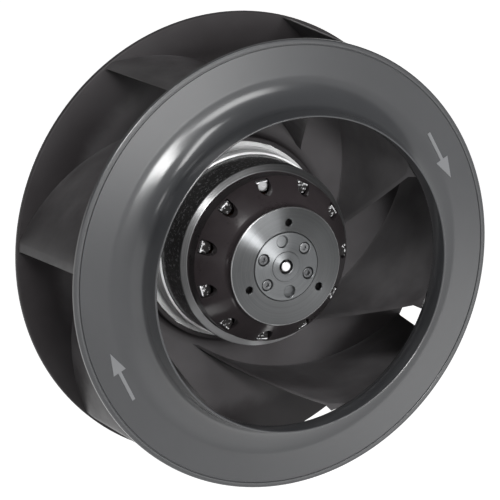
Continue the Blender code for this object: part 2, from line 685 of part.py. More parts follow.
def inner_ring_profile(foot):
    middle = foot + BEARING_WIDTH / 2.0
    race = BEARING_INNER_RACE - RACE_DEPTH
    bore = SHAFT_RADIUS + SEAT
    profile = [(bore, foot), (BEARING_INNER_RACE, foot), (BEARING_INNER_RACE, middle - RACE_HALF_WIDTH)]
    profile += [(race, middle), (BEARING_INNER_RACE, middle + RACE_HALF_WIDTH)]
    profile += [(BEARING_INNER_RACE, foot + BEARING_WIDTH), (bore, foot + BEARING_WIDTH)]
    return profile


def build_bearing(axis, place, foot, steel, cage_steel):
    """Deep-groove bearing: two rings, and the balls held in one cage."""
    outer = revolve_mesh("bearing_outer_" + place, outer_ring_profile(foot), BEARING_FACETS)
    add_object("bearing_outer_" + place, outer, axis, steel)
    inner = revolve_mesh("bearing_inner_" + place, inner_ring_profile(foot), BEARING_FACETS)
    add_object("bearing_inner_" + place, inner, axis, steel)
    pitch = (BEARING_OUTER_RACE + BEARING_INNER_RACE) / 2.0
    middle = foot + BEARING_WIDTH / 2.0
    low, high = middle - CAGE_HEIGHT / 2.0, middle + CAGE_HEIGHT / 2.0
    inside, outside = pitch - CAGE_WALL / 2.0, pitch + CAGE_WALL / 2.0
    profile = [(inside, low), (outside, low), (outside, high), (inside, high)]
    cage_mesh = revolve_mesh("ball_cage_" + place, profile, BEARING_FACETS)
    cage = add_object("ball_cage_" + place, cage_mesh, axis, cage_steel)
    bm = bmesh.new()
    for index in range(BALL_COUNT):
        x, y = polar(pitch, 2.0 * math.pi * index / BALL_COUNT)
        place_at = Matrix.Translation((x, y, middle))
        bmesh.ops.create_uvsphere(bm, u_segments=6, v_segments=4, radius=BALL_RADIUS, matrix=place_at)
    balls = finish_mesh(bm, "ball_guide_" + place, 60.0)
    combine(cage, add_cutter("ball_guide_" + place, balls, axis), "UNION", "balls")


def build_shaft_and_bearings(axis):
    steel = make_material("bearing_steel", (0.55, 0.55, 0.56), 0.22, 1.0)
    bright = make_material("shaft_steel", (0.75, 0.75, 0.76), 0.2, 1.0)
    brass = make_material("cage_brass", (0.55, 0.42, 0.2), 0.4, 1.0)
    add_object("shaft", revolve_mesh("shaft", shaft_profile(), SMALL), axis, bright)
    build_bearing(axis, "front", FRONT_BEARING_Z, steel, brass)
    build_bearing(axis, "rear", REAR_BEARING_Z, steel, brass)
    top = REAR_BEARING_Z - SEAT
    bore = SHAFT_RADIUS - CLIP_GROOVE_DEPTH + SEAT
    foot = top - CLIP_THICKNESS
    clip = [(bore, foot), (CLIP_RADIUS, foot), (CLIP_RADIUS, top), (bore, top)]
    add_object("retaining_ring", revolve_mesh("retaining_ring", clip, BEARING_FACETS), axis, steel)
    build_wave_washer(axis, steel)


def build_wave_washer(axis, steel):
    """Spring washer between the rear bearing and the shoulder of the tube."""
    outside = BEARING_RADIUS - SEAT
    inside = outside - WASHER_WALL
    foot = REAR_BEARING_Z + BEARING_WIDTH + SEAT
    swing = (WASHER_HEIGHT - WASHER_SHEET) / 2.0
    bm = bmesh.new()
    rings = []
    facets = WAVE_FACETS * WAVE_COUNT
    for step in range(facets):
        angle = 2.0 * math.pi * step / facets
        low = foot + swing * (1.0 - math.cos(WAVE_COUNT * angle))
        high = low + WASHER_SHEET
        ring = []
        for radius, height in ((inside, low), (outside, low), (outside, high), (inside, high)):
            ring.append(bm.verts.new((*polar(radius, angle), height)))
        rings.append(ring)
    for index, ring in enumerate(rings):
        following = rings[(index + 1) % len(rings)]
        for corner in range(4):
            other = (corner + 1) % 4
            bm.faces.new((ring[corner], ring[other], following[other], following[corner]))
    bmesh.ops.triangulate(bm, faces=bm.faces)
    add_object("wave_washer", finish_mesh(bm, "wave_washer", SHARP_ANGLE), axis, steel)


# Motor base


def flange_profile():
    """Motor flange with the bearing tube cast on: plate, wall, tube and bearing seats."""
    plate = FLANGE_PLATE
    inside = FLANGE_RADIUS - FLANGE_WALL
    tube_top = FRONT_BEARING_Z + BEARING_WIDTH + SEAT
    front_seat = FRONT_BEARING_Z - SEAT
    rear_seat = REAR_BEARING_Z + BEARING_WIDTH + SEAT + WASHER_HEIGHT + SEAT
    cover_seat = COVER_THICKNESS + 2.0 * SEAT
    shoulder = TUBE_BORE - TUBE_SHOULDER
    recess = COVER_RADIUS + SEAT
    fillet = FLANGE_FILLET
    profile = [(FLANGE_RADIUS - FLANGE_EDGE, 0.0), (FLANGE_RADIUS, FLANGE_EDGE)]
    profile += [(FLANGE_RADIUS, FLANGE_HEIGHT), (inside, FLANGE_HEIGHT)]
    profile += arc((inside - fillet, plate + fillet), fillet, 0.0, -90.0, 1)
    profile += arc((TUBE_RADIUS + fillet, plate + fillet), fillet, 270.0, 180.0, 1)
    profile += [(TUBE_RADIUS, tube_top), (TUBE_BORE, tube_top), (TUBE_BORE, front_seat)]
    profile += [(shoulder, front_seat), (shoulder, rear_seat), (TUBE_BORE, rear_seat)]
    profile += [(TUBE_BORE, cover_seat), (recess, cover_seat), (recess, 0.0)]
    profile += [(FLANGE_RECESS_INNER, 0.0), (FLANGE_RECESS_INNER, FLANGE_RECESS_DEPTH)]
    profile += [(FLANGE_RECESS_OUTER, FLANGE_RECESS_DEPTH), (FLANGE_RECESS_OUTER, 0.0)]
    return profile


def radial_mesh(name, profile, segments):
    """Solid of revolution whose own axis lies across the fan's axis at the gland."""
    mesh = revolve_mesh(name, profile, segments)
    turn = Matrix.Rotation(GLAND_ANGLE, 4, "Z") @ Matrix.Translation((0.0, 0.0, GLAND_Z))
    mesh.transform(turn @ Matrix.Rotation(math.pi / 2.0, 4, "Y"))
    return mesh


def build_flange(axis):
    cast = make_material("flange_aluminium", (0.5, 0.51, 0.52), 0.5, 0.9)
    flange_mesh = revolve_mesh("motor_flange", flange_profile(), INNER_FACETS)
    flange = add_object("motor_flange", flange_mesh, axis, cast)

    def boss():
        return circle_outline((MOUNT_CIRCLE, 0.0), MOUNT_BOSS_RADIUS, TINY)

    def hole():
        return circle_outline((MOUNT_CIRCLE, 0.0), MOUNT_HOLE_RADIUS, TINY)

    span = (FLANGE_PLATE / 2.0, MOUNT_BOSS_HEIGHT)
    bosses = pattern_mesh("boss_guide", MOUNT_COUNT, MOUNT_ANGLE, boss, [span] * MOUNT_COUNT)
    combine(flange, add_cutter("boss_guide", bosses, axis), "UNION", "bosses")
    span = (-CUT_PAST, MOUNT_HOLE_DEPTH)
    holes = pattern_mesh("mount_cutter", MOUNT_COUNT, MOUNT_ANGLE, hole, [span] * MOUNT_COUNT)
    combine(flange, add_cutter("mount_cutter", holes, axis), "DIFFERENCE", "mount_holes")
    bore = GLAND_BODY_RADIUS + SEAT
    inner, outer = FLANGE_RADIUS - 2.0 * FLANGE_WALL, FLANGE_RADIUS + FLANGE_WALL
    passage = radial_mesh("gland_cutter", [(0.0, inner), (bore, inner), (bore, outer), (0.0, outer)], TINY)
    combine(flange, add_cutter("gland_cutter", passage, axis), "DIFFERENCE", "gland_hole")


def build_flange_fittings(axis):
    rubber = make_material("gland_rubber", (0.03, 0.03, 0.03), 0.6, 0.0)
    sheet = make_material("cover_steel", (0.45, 0.45, 0.46), 0.4, 1.0)
    collar_foot = FLANGE_RADIUS + SEAT
    collar_top = collar_foot + GLAND_COLLAR_LENGTH
    nose = collar_top + GLAND_NOSE_LENGTH
    nose_radius = (GLAND_BORE_RADIUS + GLAND_BODY_RADIUS) / 2.0
    start = FLANGE_RADIUS - FLANGE_WALL - SEAT
    profile = [(GLAND_BORE_RADIUS, start), (GLAND_BODY_RADIUS, start), (GLAND_BODY_RADIUS, collar_foot)]
    profile += [(GLAND_COLLAR_RADIUS, collar_foot), (GLAND_COLLAR_RADIUS, collar_top)]
    profile += [(GLAND_BODY_RADIUS, collar_top), (nose_radius, nose), (GLAND_BORE_RADIUS, nose)]
    add_object("cable_gland", radial_mesh("cable_gland", profile, TINY), axis, rubber)
    top = COVER_THICKNESS + SEAT
    rim_inner = COVER_RADIUS - COVER_RIM
    cover = [(0.0, SEAT + COVER_DISH), (rim_inner - COVER_DISH, SEAT + COVER_DISH), (rim_inner, SEAT)]
    cover += [(COVER_RADIUS, SEAT), (COVER_RADIUS, top), (0.0, top)]
    add_object("bearing_cover", revolve_mesh("bearing_cover", cover, INNER_FACETS), axis, sheet)


# Stator


def tooth_ring(bm, slots, bottom, top):
    """Laminated ring with open, parallel-sided slots round its outside."""
    bore = TUBE_RADIUS + SEAT
    half = SLOT_WIDTH / 2.0
    mouth = math.asin(half / STATOR_RADIUS)
    root = math.asin(half / SLOT_FLOOR)
    pitch = 2.0 * math.pi / slots
    outer, inner = [], []
    for index in range(slots):
        middle = pitch * index
        outer.append(polar(SLOT_FLOOR, middle - root))
        outer.append(polar(SLOT_FLOOR, middle + root))
        for step in range(TOOTH_STEPS + 1):
            angle = middle + mouth + (pitch - 2.0 * mouth) * step / TOOTH_STEPS
            outer.append(polar(STATOR_RADIUS, angle))
    steps = TOOTH_STEPS + 3
    for index in range(slots * steps):
        inner.append(polar(bore, pitch * (index // steps) + pitch * (index % steps) / steps - root))
    levels = []
    for height in (bottom, top):
        rim = [bm.verts.new((x, y, height)) for x, y in outer]
        hole = [bm.verts.new((x, y, height)) for x, y in inner]
        levels.append((rim, hole))
    (low_rim, low_hole), (high_rim, high_hole) = levels
    count = len(outer)
    for index in range(count):
        following = (index + 1) % count
        bm.faces.new((low_rim[index], low_rim[following], high_rim[following], high_rim[index]))
        bm.faces.new((low_hole[following], low_hole[index], high_hole[index], high_hole[following]))
        bm.faces.new((low_rim[following], low_rim[index], low_hole[index], low_hole[following]))
        bm.faces.new((high_rim[index], high_rim[following], high_hole[following], high_hole[index]))


def build_stator(axis):
    lamination = make_material("stator_steel", (0.25, 0.25, 0.26), 0.5, 0.9)
    copper = make_material("winding_copper", (0.5, 0.2, 0.08), 0.4, 0.8)
    bm = bmesh.new()
    tooth_ring(bm, SLOT_COUNT, STATOR_REAR, STATOR_FRONT)
    bmesh.ops.triangulate(bm, faces=bm.faces)
    add_object("stator_stack", finish_mesh(bm, "stator_stack", SHARP_ANGLE), axis, lamination)
    winding_mesh = end_turn_mesh("stator_winding", STATOR_REAR - SEAT - END_TURN_HEIGHT)
    winding = add_object("stator_winding", winding_mesh, axis, copper)
    front = end_turn_mesh("end_turn_guide", STATOR_FRONT + SEAT)

    def bar():
        half = SLOT_WIDTH / 2.0 - SEAT
        low, high = SLOT_FLOOR + SEAT, STATOR_RADIUS - END_TURN_INSET
        return [(low, -half), (high, -half), (high, half), (low, half)]

    span = (STATOR_REAR - SEAT - END_TURN_ROOT, STATOR_FRONT + SEAT + END_TURN_ROOT)
    bars = pattern_mesh("coil_guide", SLOT_COUNT, 0.0, bar, [span] * SLOT_COUNT)
    combine(winding, add_cutter("coil_guide", bars, axis), "UNION", "coil_sides")
    combine(winding, add_cutter("end_turn_guide", front, axis), "UNION", "front_end_turns")


def end_turn_mesh(name, foot):
    """Ring of end turns with rounded corners, resting on one face of the stator."""
    inside, outside = END_TURN_INNER, STATOR_RADIUS - END_TURN_INSET
    soft = END_TURN_EDGE
    top = foot + END_TURN_HEIGHT
    profile = [(inside, foot), (outside - soft, foot), (outside, foot + soft)]
    profile += [(outside, top - soft), (outside - soft, top), (inside, top)]
    return revolve_mesh(name, profile, SMALL)


def main():
    clear_scene()
    axis = bpy.data.objects.new("fan_axis", None)
    bpy.context.scene.collection.objects.link(axis)
    axis.rotation_euler = (math.pi / 2.0, 0.0, 0.0)
    build_impeller(axis)
    build_rotor(axis)
    build_cap(axis)
    build_hub(axis)
    build_screws(axis)
    build_shaft_and_bearings(axis)
    build_flange(axis)
    build_flange_fittings(axis)
    build_stator(axis)


main()
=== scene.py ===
"""Plug fan, dressed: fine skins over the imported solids, materials, light and camera.

Meshes are built in the fan's own coordinates: z runs from the motor flange's face
out of the inlet, and angles run anticlockwise as seen from the inlet. Materials work
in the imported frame, where the same axis is y and the inlet faces the negative side.
"""
import math

import bmesh
import bpy
from mathutils import Matrix, Quaternion, Vector


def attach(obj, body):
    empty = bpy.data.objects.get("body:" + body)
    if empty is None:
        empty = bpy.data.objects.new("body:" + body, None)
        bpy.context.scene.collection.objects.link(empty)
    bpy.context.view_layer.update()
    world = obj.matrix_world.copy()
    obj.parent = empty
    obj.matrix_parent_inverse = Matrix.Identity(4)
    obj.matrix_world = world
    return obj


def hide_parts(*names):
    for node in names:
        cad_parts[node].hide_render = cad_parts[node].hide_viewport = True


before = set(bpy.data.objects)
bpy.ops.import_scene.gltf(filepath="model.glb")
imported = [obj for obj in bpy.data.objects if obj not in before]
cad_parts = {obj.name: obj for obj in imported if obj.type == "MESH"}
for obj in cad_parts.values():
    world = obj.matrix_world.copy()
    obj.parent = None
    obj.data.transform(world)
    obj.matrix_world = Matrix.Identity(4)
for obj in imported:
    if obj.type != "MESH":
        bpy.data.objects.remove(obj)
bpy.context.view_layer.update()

MM = 0.001
TAU = 2.0 * math.pi
TO_WORLD = Matrix.Rotation(math.pi / 2.0, 4, "X")
SHARP_ANGLE = 28.0
BLADE_SHARP_ANGLE = 40.0

# Sizes shared with the solids
DISC_RADIUS = 125.0 * MM
DISC_REAR = 14.5 * MM
DISC_FRONT = 17.5 * MM
SHROUD_RADIUS = 122.5 * MM
SHROUD_UNDER = 85.7 * MM
RIM_PLANE = 88.0 * MM
LIP_TOP = 108.1 * MM
THROAT_RADIUS = 84.8 * MM
SHEET = 2.3 * MM
FILLET = 11.5 * MM
FILLET_CENTRE = (98.6 * MM, 99.5 * MM)
NECK_REACH = 104.0 * MM
COLLAR_BORE = 55.0 * MM
COLLAR_TOP = 24.5 * MM
COLLAR_RADIUS = 57.5 * MM
SEAT = 0.3 * MM

# Arrows on the annulus: name, radius, and the angles of the tail and the tip
ARROWS = (("right", 106.7 * MM, 36.7, 20.7), ("left", 108.2 * MM, 214.1, 198.2))

BLADE_COUNT = 7
BLADE_FIRST_ANGLE = math.radians(20.2)
BLADE_ARC_RADIUS = 105.7 * MM
BLADE_OUTLET_ANGLE = math.radians(24.3)
BLADE_HUB_RADIUS = 63.0 * MM
BLADE_TIP_INSET = 0.7 * MM
BLADE_EDGE_INSET = 0.6 * MM
BLADE_DISC_INSET = 0.9 * MM

ROTOR_RADIUS = 50.3 * MM
ROTOR_BORE = 37.3 * MM
STACK_REAR = 26.3 * MM
STACK_FRONT = 62.3 * MM
RING_BORE = 50.6 * MM
RING_BAND = 51.9 * MM
RING_RADIUS = 54.7 * MM
RING_TOP = 39.5 * MM
RING_FOOT = 14.8 * MM
CAP_RADIUS = 45.8 * MM
CAP_FOOT = 62.6 * MM
CAP_SHOULDER = 70.5 * MM
CAP_CEILING = 78.3 * MM
BOSS_RADIUS = 32.6 * MM
BOSS_TOP = 87.2 * MM
BOSS_FOOT = 83.4 * MM
PLATE_RADIUS = 18.8 * MM
PLATE_TOP = 87.6 * MM
PLATE_UNDER = 82.6 * MM
PLATE_RING = 8.3 * MM
SHAFT_TIP = 87.6 * MM
SHAFT_RADIUS = 3.7 * MM
SHAFT_NOSE_RADIUS = 2.8 * MM
SHAFT_NOSE_LENGTH = 3.0 * MM
SHAFT_GROOVE_RADIUS = 3.0 * MM
CAGE_BORE = 36.6 * MM
CAGE_TOP = 66.6 * MM
NUB_COUNT = 11
NUB_ANGLE = math.radians(98.3)
NUB_HALF_WIDTH = 3.3 * MM
NUB_FLAT = 44.3 * MM
NUB_CENTRE = 41.6 * MM
NUB_HEIGHT = 5.2 * MM
SCREW_SEATS = 6
SCREW_SEAT_RADIUS = 3.2 * MM
SCREW_CIRCLE = 14.2 * MM
SCREW_ANGLE = math.radians(98.8)
SCREW_POSITIONS = (1, 2, 4, 5)
SCREW_TOP = 87.1 * MM
SCREW_UNDER = 85.1 * MM
TAPPED_COUNT = 3
TAPPED_CIRCLE = 24.0 * MM
TAPPED_ANGLE = math.radians(85.8)
TAPPED_RADIUS = 2.0 * MM
TAPPED_DEPTH = 3.2 * MM

FLANGE_RADIUS = 49.0 * MM
FLANGE_INSIDE = 46.5 * MM
FLANGE_HEIGHT = 17.5 * MM
FLANGE_PLATE = 4.5 * MM
TUBE_RADIUS = 14.0 * MM
TUBE_BORE = 11.3 * MM
TUBE_TOP = 73.8 * MM
COVER_RADIUS = 16.7 * MM
COVER_TOP = 2.5 * MM
MOUNT_COUNT = 4
MOUNT_CIRCLE = 38.0 * MM
MOUNT_ANGLE = math.radians(45.0)
MOUNT_RADIUS = 2.5 * MM
MOUNT_DEPTH = 9.0 * MM
MOUNT_BOSS_RADIUS = 5.5 * MM
MOUNT_BOSS_TOP = 11.5 * MM
GLAND_Z = 8.0 * MM

IMPELLER = "impeller"
STATOR = "stator"


# Meshes


def polar(radius, angle):
    return radius * math.cos(angle), radius * math.sin(angle)


def arc(centre, radius, start, end, steps):
    """Points (r, z) along a circular arc, both ends included; angles in degrees."""
    points = []
    for step in range(steps + 1):
        angle = math.radians(start + (end - start) * step / steps)
        points.append((centre[0] + radius * math.cos(angle), centre[1] + radius * math.sin(angle)))
    return points


def mesh_from(bm, name, sharp_angle=SHARP_ANGLE):
    """Mesh with merged points, faces turned outwards, and edges past the angle sharp."""
    bmesh.ops.remove_doubles(bm, verts=bm.verts, dist=1e-6)
    bmesh.ops.recalc_face_normals(bm, faces=bm.faces)
    mesh = bpy.data.meshes.new(name)
    bm.to_mesh(mesh)
    bm.free()
    mesh.shade_smooth()
    mesh.set_sharp_from_angle(angle=math.radians(sharp_angle))
    return mesh


def turned_mesh(name, profile, segments):
    """Solid of revolution about local z from a closed outline of (r, z) points."""
    bm = bmesh.new()
    verts = [bm.verts.new((r, 0.0, z)) for r, z in profile]
    edges = [bm.edges.new((verts[i], verts[(i + 1) % len(verts)])) for i in range(len(verts))]
    bmesh.ops.spin(
        bm,
        geom=verts + edges,
        cent=(0.0, 0.0, 0.0),
        axis=(0.0, 0.0, 1.0),
        angle=TAU,
        steps=segments,
        use_merge=True,
        use_duplicate=False,
    )
    bmesh.ops.remove_doubles(bm, verts=bm.verts, dist=1e-7)
    return mesh_from(bm, name)


def add_prism(bm, outline, bottom, top):
    """Upright prism on an outline of (x, y) points."""
    floor = bm.faces.new([bm.verts.new((x, y, bottom)) for x, y in outline])
    grown = bmesh.ops.extrude_face_region(bm, geom=[floor])
    raised = [item for item in grown["geom"] if isinstance(item, bmesh.types.BMVert)]
    bmesh.ops.translate(bm, verts=raised, vec=(0.0, 0.0, top - bottom))


def circle_outline(centre, radius, segments):
    outline = []
    for step in range(segments):
        x, y = polar(radius, TAU * step / segments)
        outline.append((centre[0] + x, centre[1] + y))
    return outline


def countersinks(name, count, first_angle, circle, radius, top, way=1.0):
    """Mesh of cones repeated round the axis, which break the edges of holes in a face.

    Way is 1 for a face that looks along z and -1 for one that looks the other way.
    """
    edge = 0.35 * MM * way
    segments = 36
    bm = bmesh.new()
    for index in range(count):
        centre = polar(circle, first_angle + TAU * index / count)
        low = circle_outline(centre, radius, segments)
        high = circle_outline(centre, radius + 2.0 * abs(edge), segments)
        bottom = [bm.verts.new((x, y, top - edge)) for x, y in low]
        upper = [bm.verts.new((x, y, top + edge)) for x, y in high]
        bm.faces.new(bottom)
        bm.faces.new(upper)
        for step in range(segments):
            after = (step + 1) % segments
            bm.faces.new((bottom[step], bottom[after], upper[after], upper[step]))
    return mesh_from(bm, name)


def turn_outline(outline, angle):
    cosine, sine = math.cos(angle), math.sin(angle)
    return [(x * cosine - y * sine, x * sine + y * cosine) for x, y in outline]


def repeated(name, first_angle, outline, spans):
    """Mesh of prisms evenly round the axis, one for each (bottom, top) in spans."""
    bm = bmesh.new()
    for index, span in enumerate(spans):
        add_prism(bm, turn_outline(outline, first_angle + TAU * index / len(spans)), *span)
    return mesh_from(bm, name)


def place(name, mesh):
    """New object for a mesh, linked into the scene."""
    thing = bpy.data.objects.new(name, mesh)
    bpy.context.scene.collection.objects.link(thing)
    return thing


def settle(thing, material, body, *nodes, slot=None):
    """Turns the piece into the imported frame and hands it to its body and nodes."""
    thing.data.transform(TO_WORLD)
    thing.data.materials.clear()
    thing.data.materials.append(material)
    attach(thing, body)
    if nodes:
        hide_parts(*nodes)
    return thing


def boolean(target, mesh, operation):
    """Cuts or joins a mesh into the target for good."""
    other = place(target.name + ".tool", mesh)
    modifier = target.modifiers.new("shape", "BOOLEAN")
    modifier.operation = operation
    modifier.solver = "EXACT"
    modifier.object = other
    deps = bpy.context.evaluated_depsgraph_get()
    result = bpy.data.meshes.new_from_object(target.evaluated_get(deps))
    target.modifiers.clear()
    target.data = result
    bpy.data.objects.remove(other)
    result.shade_smooth()
    result.set_sharp_from_angle(angle=math.radians(SHARP_ANGLE))


# Materials


class Tree:
    """Short hand for building a node tree."""

    def __init__(self, tree):
        self.tree = tree

    def add(self, kind, **settings):
        node = self.tree.nodes.new(kind)
        for key, value in settings.items():
            setattr(node, key, value)
        return node

    def link(self, source, target):
        self.tree.links.new(source, target)

    def feed(self, value, socket):
        if isinstance(value, (int, float)):
            socket.default_value = value
        else:
            self.link(value, socket)

    def math(self, operation, first, second=0.0, clamp=False):
        node = self.add("ShaderNodeMath", operation=operation, use_clamp=clamp)
        self.feed(first, node.inputs[0])
        self.feed(second, node.inputs[1])
        return node.outputs[0]

    def split(self, vector):
        node = self.add("ShaderNodeSeparateXYZ")
        self.link(vector, node.inputs[0])
        return node.outputs

    def spread(self, value, low, high, out_low, out_high, smooth=False):
        """Maps low..high to out_low..out_high and holds the ends."""
        node = self.add("ShaderNodeMapRange")
        node.interpolation_type = "SMOOTHSTEP" if smooth else "LINEAR"
        self.link(value, node.inputs["Value"])
        ends = {"From Min": low, "From Max": high, "To Min": out_low, "To Max": out_high}
        for key, number in ends.items():
            node.inputs[key].default_value = number
        return node.outputs[0]


class Nodes(Tree):
    """One material, built round its own shader node."""

    def __init__(self, name):
        self.material = bpy.data.materials.new(name)
        self.material.use_nodes = True
        super().__init__(self.material.node_tree)
        self.shader = self.tree.nodes["Principled BSDF"]

    def within(self, value, centre, reach):
        """1 where the value lies no further than reach from the centre, else 0."""
        node = self.add("ShaderNodeMath", operation="COMPARE")
        for index, number in enumerate((value, centre, reach)):
            self.feed(number, node.inputs[index])
        return node.outputs[0]

    def position(self):
        return self.add("ShaderNodeTexCoord").outputs["Object"]

    def join(self, x, y, z):
        node = self.add("ShaderNodeCombineXYZ")
        for value, socket in zip((x, y, z), node.inputs):
            self.feed(value, socket)
        return node.outputs[0]

    def radius(self, x, z):
        squares = self.math("ADD", self.math("MULTIPLY", x, x), self.math("MULTIPLY", z, z))
        return self.math("SQRT", squares)

    def lathe(self):
        """Distance from the fan's axis, angle about it, and place along it."""
        x, y, z = self.split(self.position())
        return self.radius(x, z), self.math("ARCTAN2", z, x), y

    def groove_noise(self, radius, angle, y, pitch, turn, detail=4.0, roughness=0.65):
        """Noise drawn out along circles about the fan's axis."""
        along = self.math("MULTIPLY", y, pitch)
        where = self.join(
            self.math("MULTIPLY", radius, pitch), along, self.math("MULTIPLY", angle, turn)
        )
        return self.noise(where, 1.0, detail, roughness)

    def brush(self, anisotropic):
        """Gloss drawn out across the circular grooves."""
        self.shader.inputs["Anisotropic"].default_value = anisotropic
        self.shader.inputs["Anisotropic Rotation"].default_value = 0.25
        tangent = self.add("ShaderNodeTangent", direction_type="RADIAL", axis="Y")
        self.link(tangent.outputs[0], self.shader.inputs["Tangent"])

    def noise(self, vector, scale, detail=3.0, roughness=0.5):
        node = self.add("ShaderNodeTexNoise")
        self.link(vector, node.inputs["Vector"])
        node.inputs["Scale"].default_value = scale
        node.inputs["Detail"].default_value = detail
        node.inputs["Roughness"].default_value = roughness
        return node.outputs["Fac"]

    def vary(self, noise, low, high):
        """Value from low to high, by a noise whose values lie about 0.3 to 0.7."""
        return self.spread(noise, 0.3, 0.7, low, high)

    def mottle(self, noise, dark, light):
        """Colour from dark to light, by the same kind of noise."""
        return self.blend(self.vary(noise, 0.0, 1.0), dark, light)

    def blend(self, factor, first, second):
        node = self.add("ShaderNodeMix", data_type="RGBA")
        self.feed(factor, node.inputs["Factor"])
        for value, socket in ((first, node.inputs["A"]), (second, node.inputs["B"])):
            self.colour(value, socket)
        return node.outputs["Result"]

    def colour(self, value, socket):
        if isinstance(value, tuple):
            socket.default_value = (*value, 1.0)
        else:
            self.link(value, socket)

    def bump(self, height, strength, distance, over=None):
        node = self.add("ShaderNodeBump")
        node.inputs["Strength"].default_value = strength
        node.inputs["Distance"].default_value = distance
        self.link(height, node.inputs["Height"])
        if over:
            self.link(over, node.inputs["Normal"])
        self.link(node.outputs[0], self.shader.inputs["Normal"])
        return node.outputs[0]

    def lean(self, radius, degrees):
        """Leans the gloss outwards, as the flanks of lathe grooves do."""
        return self.bump(self.math("MULTIPLY", radius, -1.0), 1.0, math.tan(math.radians(degrees)))

    def finish(self, colour, roughness, metallic=0.0, specular=0.5, coat=0.0, coat_roughness=0.1):
        self.colour(colour, self.shader.inputs["Base Color"])
        self.feed(roughness, self.shader.inputs["Roughness"])
        self.feed(metallic, self.shader.inputs["Metallic"])
        self.shader.inputs["Specular IOR Level"].default_value = specular
        self.feed(coat, self.shader.inputs["Coat Weight"])
        self.shader.inputs["Coat Roughness"].default_value = coat_roughness
        return self.material


# Noises in the plastic: scale, detail and roughness
FLOW = (14.0, 4.0, 0.6)
SMEAR = (45.0, 5.0, 0.65)
GRAIN = (900.0, 2.0, 0.5)

# Turned faces of the boss and of the hub plate
FACE_PITCH = 2600.0
FACE_LEAN = 16.0

# Painted highlight: the crest of one nub, painted bright as the lamps' reflection
GLINT_CREST = (-6.2 * MM, 41.4 * MM)


def arrow_plastic():
    """Raised arrows: paler than the shroud they stand on."""
    n = Nodes("arrow_finish")
    where = n.position()
    smear = n.noise(where, *SMEAR)
    tint = n.mottle(n.noise(where, *FLOW), (0.128, 0.131, 0.135), (0.149, 0.152, 0.158))
    grain = n.math("ADD", n.noise(where, *GRAIN), n.math("MULTIPLY", smear, 0.5))
    n.bump(grain, 0.05, 0.2 * MM)
    return n.finish(tint, n.spread(smear, 0.3, 0.75, 0.4, 0.5))


def shroud_plastic():
    """Moulded shroud: faint circular marks under a smooth skin."""
    n = Nodes("shroud_finish")
    where = n.position()
    radius, angle, y = n.lathe()
    marks = n.groove_noise(radius, angle, y, 900.0, 1.5)
    tint = n.mottle(n.noise(where, *FLOW), (0.0228, 0.0236, 0.0257), (0.0297, 0.0308, 0.0334))
    n.bump(n.math("ADD", n.noise(where, *GRAIN), marks), 0.05, 0.2 * MM)
    n.brush(0.6)
    rough = n.vary(marks, 0.38, 0.44)
    return n.finish(tint, rough, specular=0.2, coat=1.0, coat_roughness=0.175)


def dust_and_fill_plastic(name, dust_and_fill, clean, first, last):
    """Moulded plastic, paler on the side that faces the inlet: dust, and painted fill light for the
    shaded inside of the fan.

    Dust_and_fill and clean are each a dark and a light tone. The paler tone starts past the collar,
    which keeps the darker clean tone as painted shade beside the rotor, and thins out from the
    first radius to the last, so the directly lit outer band stays darker.
    """
    n = Nodes(name)
    where = n.position()
    radius, _, y = n.lathe()
    flow = n.spread(n.noise(where, *FLOW), 0.34, 0.66, 0.0, 1.0)
    smear = n.noise(where, *SMEAR)
    # Painted fill light: inside the first radius the paler tone lightens the shaded inside of the
    # fan; past the last radius the darker tone stays for the directly lit outer band.
    uneven = n.math("ADD", radius, n.math("MULTIPLY", smear, 10.0 * MM))
    outer = n.spread(uneven, first, last, 0.0, 1.0, smooth=True)
    # Painted shade: the collar and the ring round it keep the darker tone, in the rotor's shade.
    inner = n.spread(radius, COLLAR_RADIUS + MM, BLADE_HUB_RADIUS + MM, 1.0, 0.0)
    rear = n.math("GREATER_THAN", y, -(DISC_REAR + MM))
    bare = n.math("MAXIMUM", n.math("MAXIMUM", outer, inner), rear)
    tint = n.blend(bare, n.blend(flow, *dust_and_fill), n.blend(flow, *clean))
    grain = n.math("ADD", n.noise(where, *GRAIN), n.math("MULTIPLY", smear, 0.5))
    n.bump(grain, 0.1, 0.2 * MM)
    return n.finish(tint, n.spread(smear, 0.3, 0.75, 0.36, 0.54), specular=0.2)


def turned_metal(name, dark, light, roughness, pitch, anisotropic, strength):
    """Metal faced on a lathe: rings of fine grooves about the fan's axis."""
    n = Nodes(name)
    radius, angle, y = n.lathe()
    rings = n.groove_noise(radius, angle, y, pitch, 0.35)
    blotch = n.noise(n.position(), 60.0, 3.0)
    mixed = n.math("ADD", n.math("MULTIPLY", rings, 0.7), n.math("MULTIPLY", blotch, 0.3))
    n.bump(rings, strength, 0.08 * MM)
    n.brush(anisotropic)
    rough = n.vary(blotch, roughness * 0.85, roughness * 1.15)
    return n.finish(n.mottle(mixed, dark, light), rough, metallic=1.0)


def hub_metal():
    """Hub plate: faced like the boss round it."""
    n = Nodes("hub_finish")
    radius, angle, y = n.lathe()
    rings = n.groove_noise(radius, angle, y, FACE_PITCH, 0.3)
    steel = n.mottle(rings, (0.114, 0.1176, 0.1206), (0.157, 0.1616, 0.1655))
    n.bump(rings, 0.12, 0.1 * MM, n.lean(radius, FACE_LEAN))
    n.brush(0.55)
    return n.finish(steel, n.vary(rings, 0.4, 0.47), metallic=1.0)


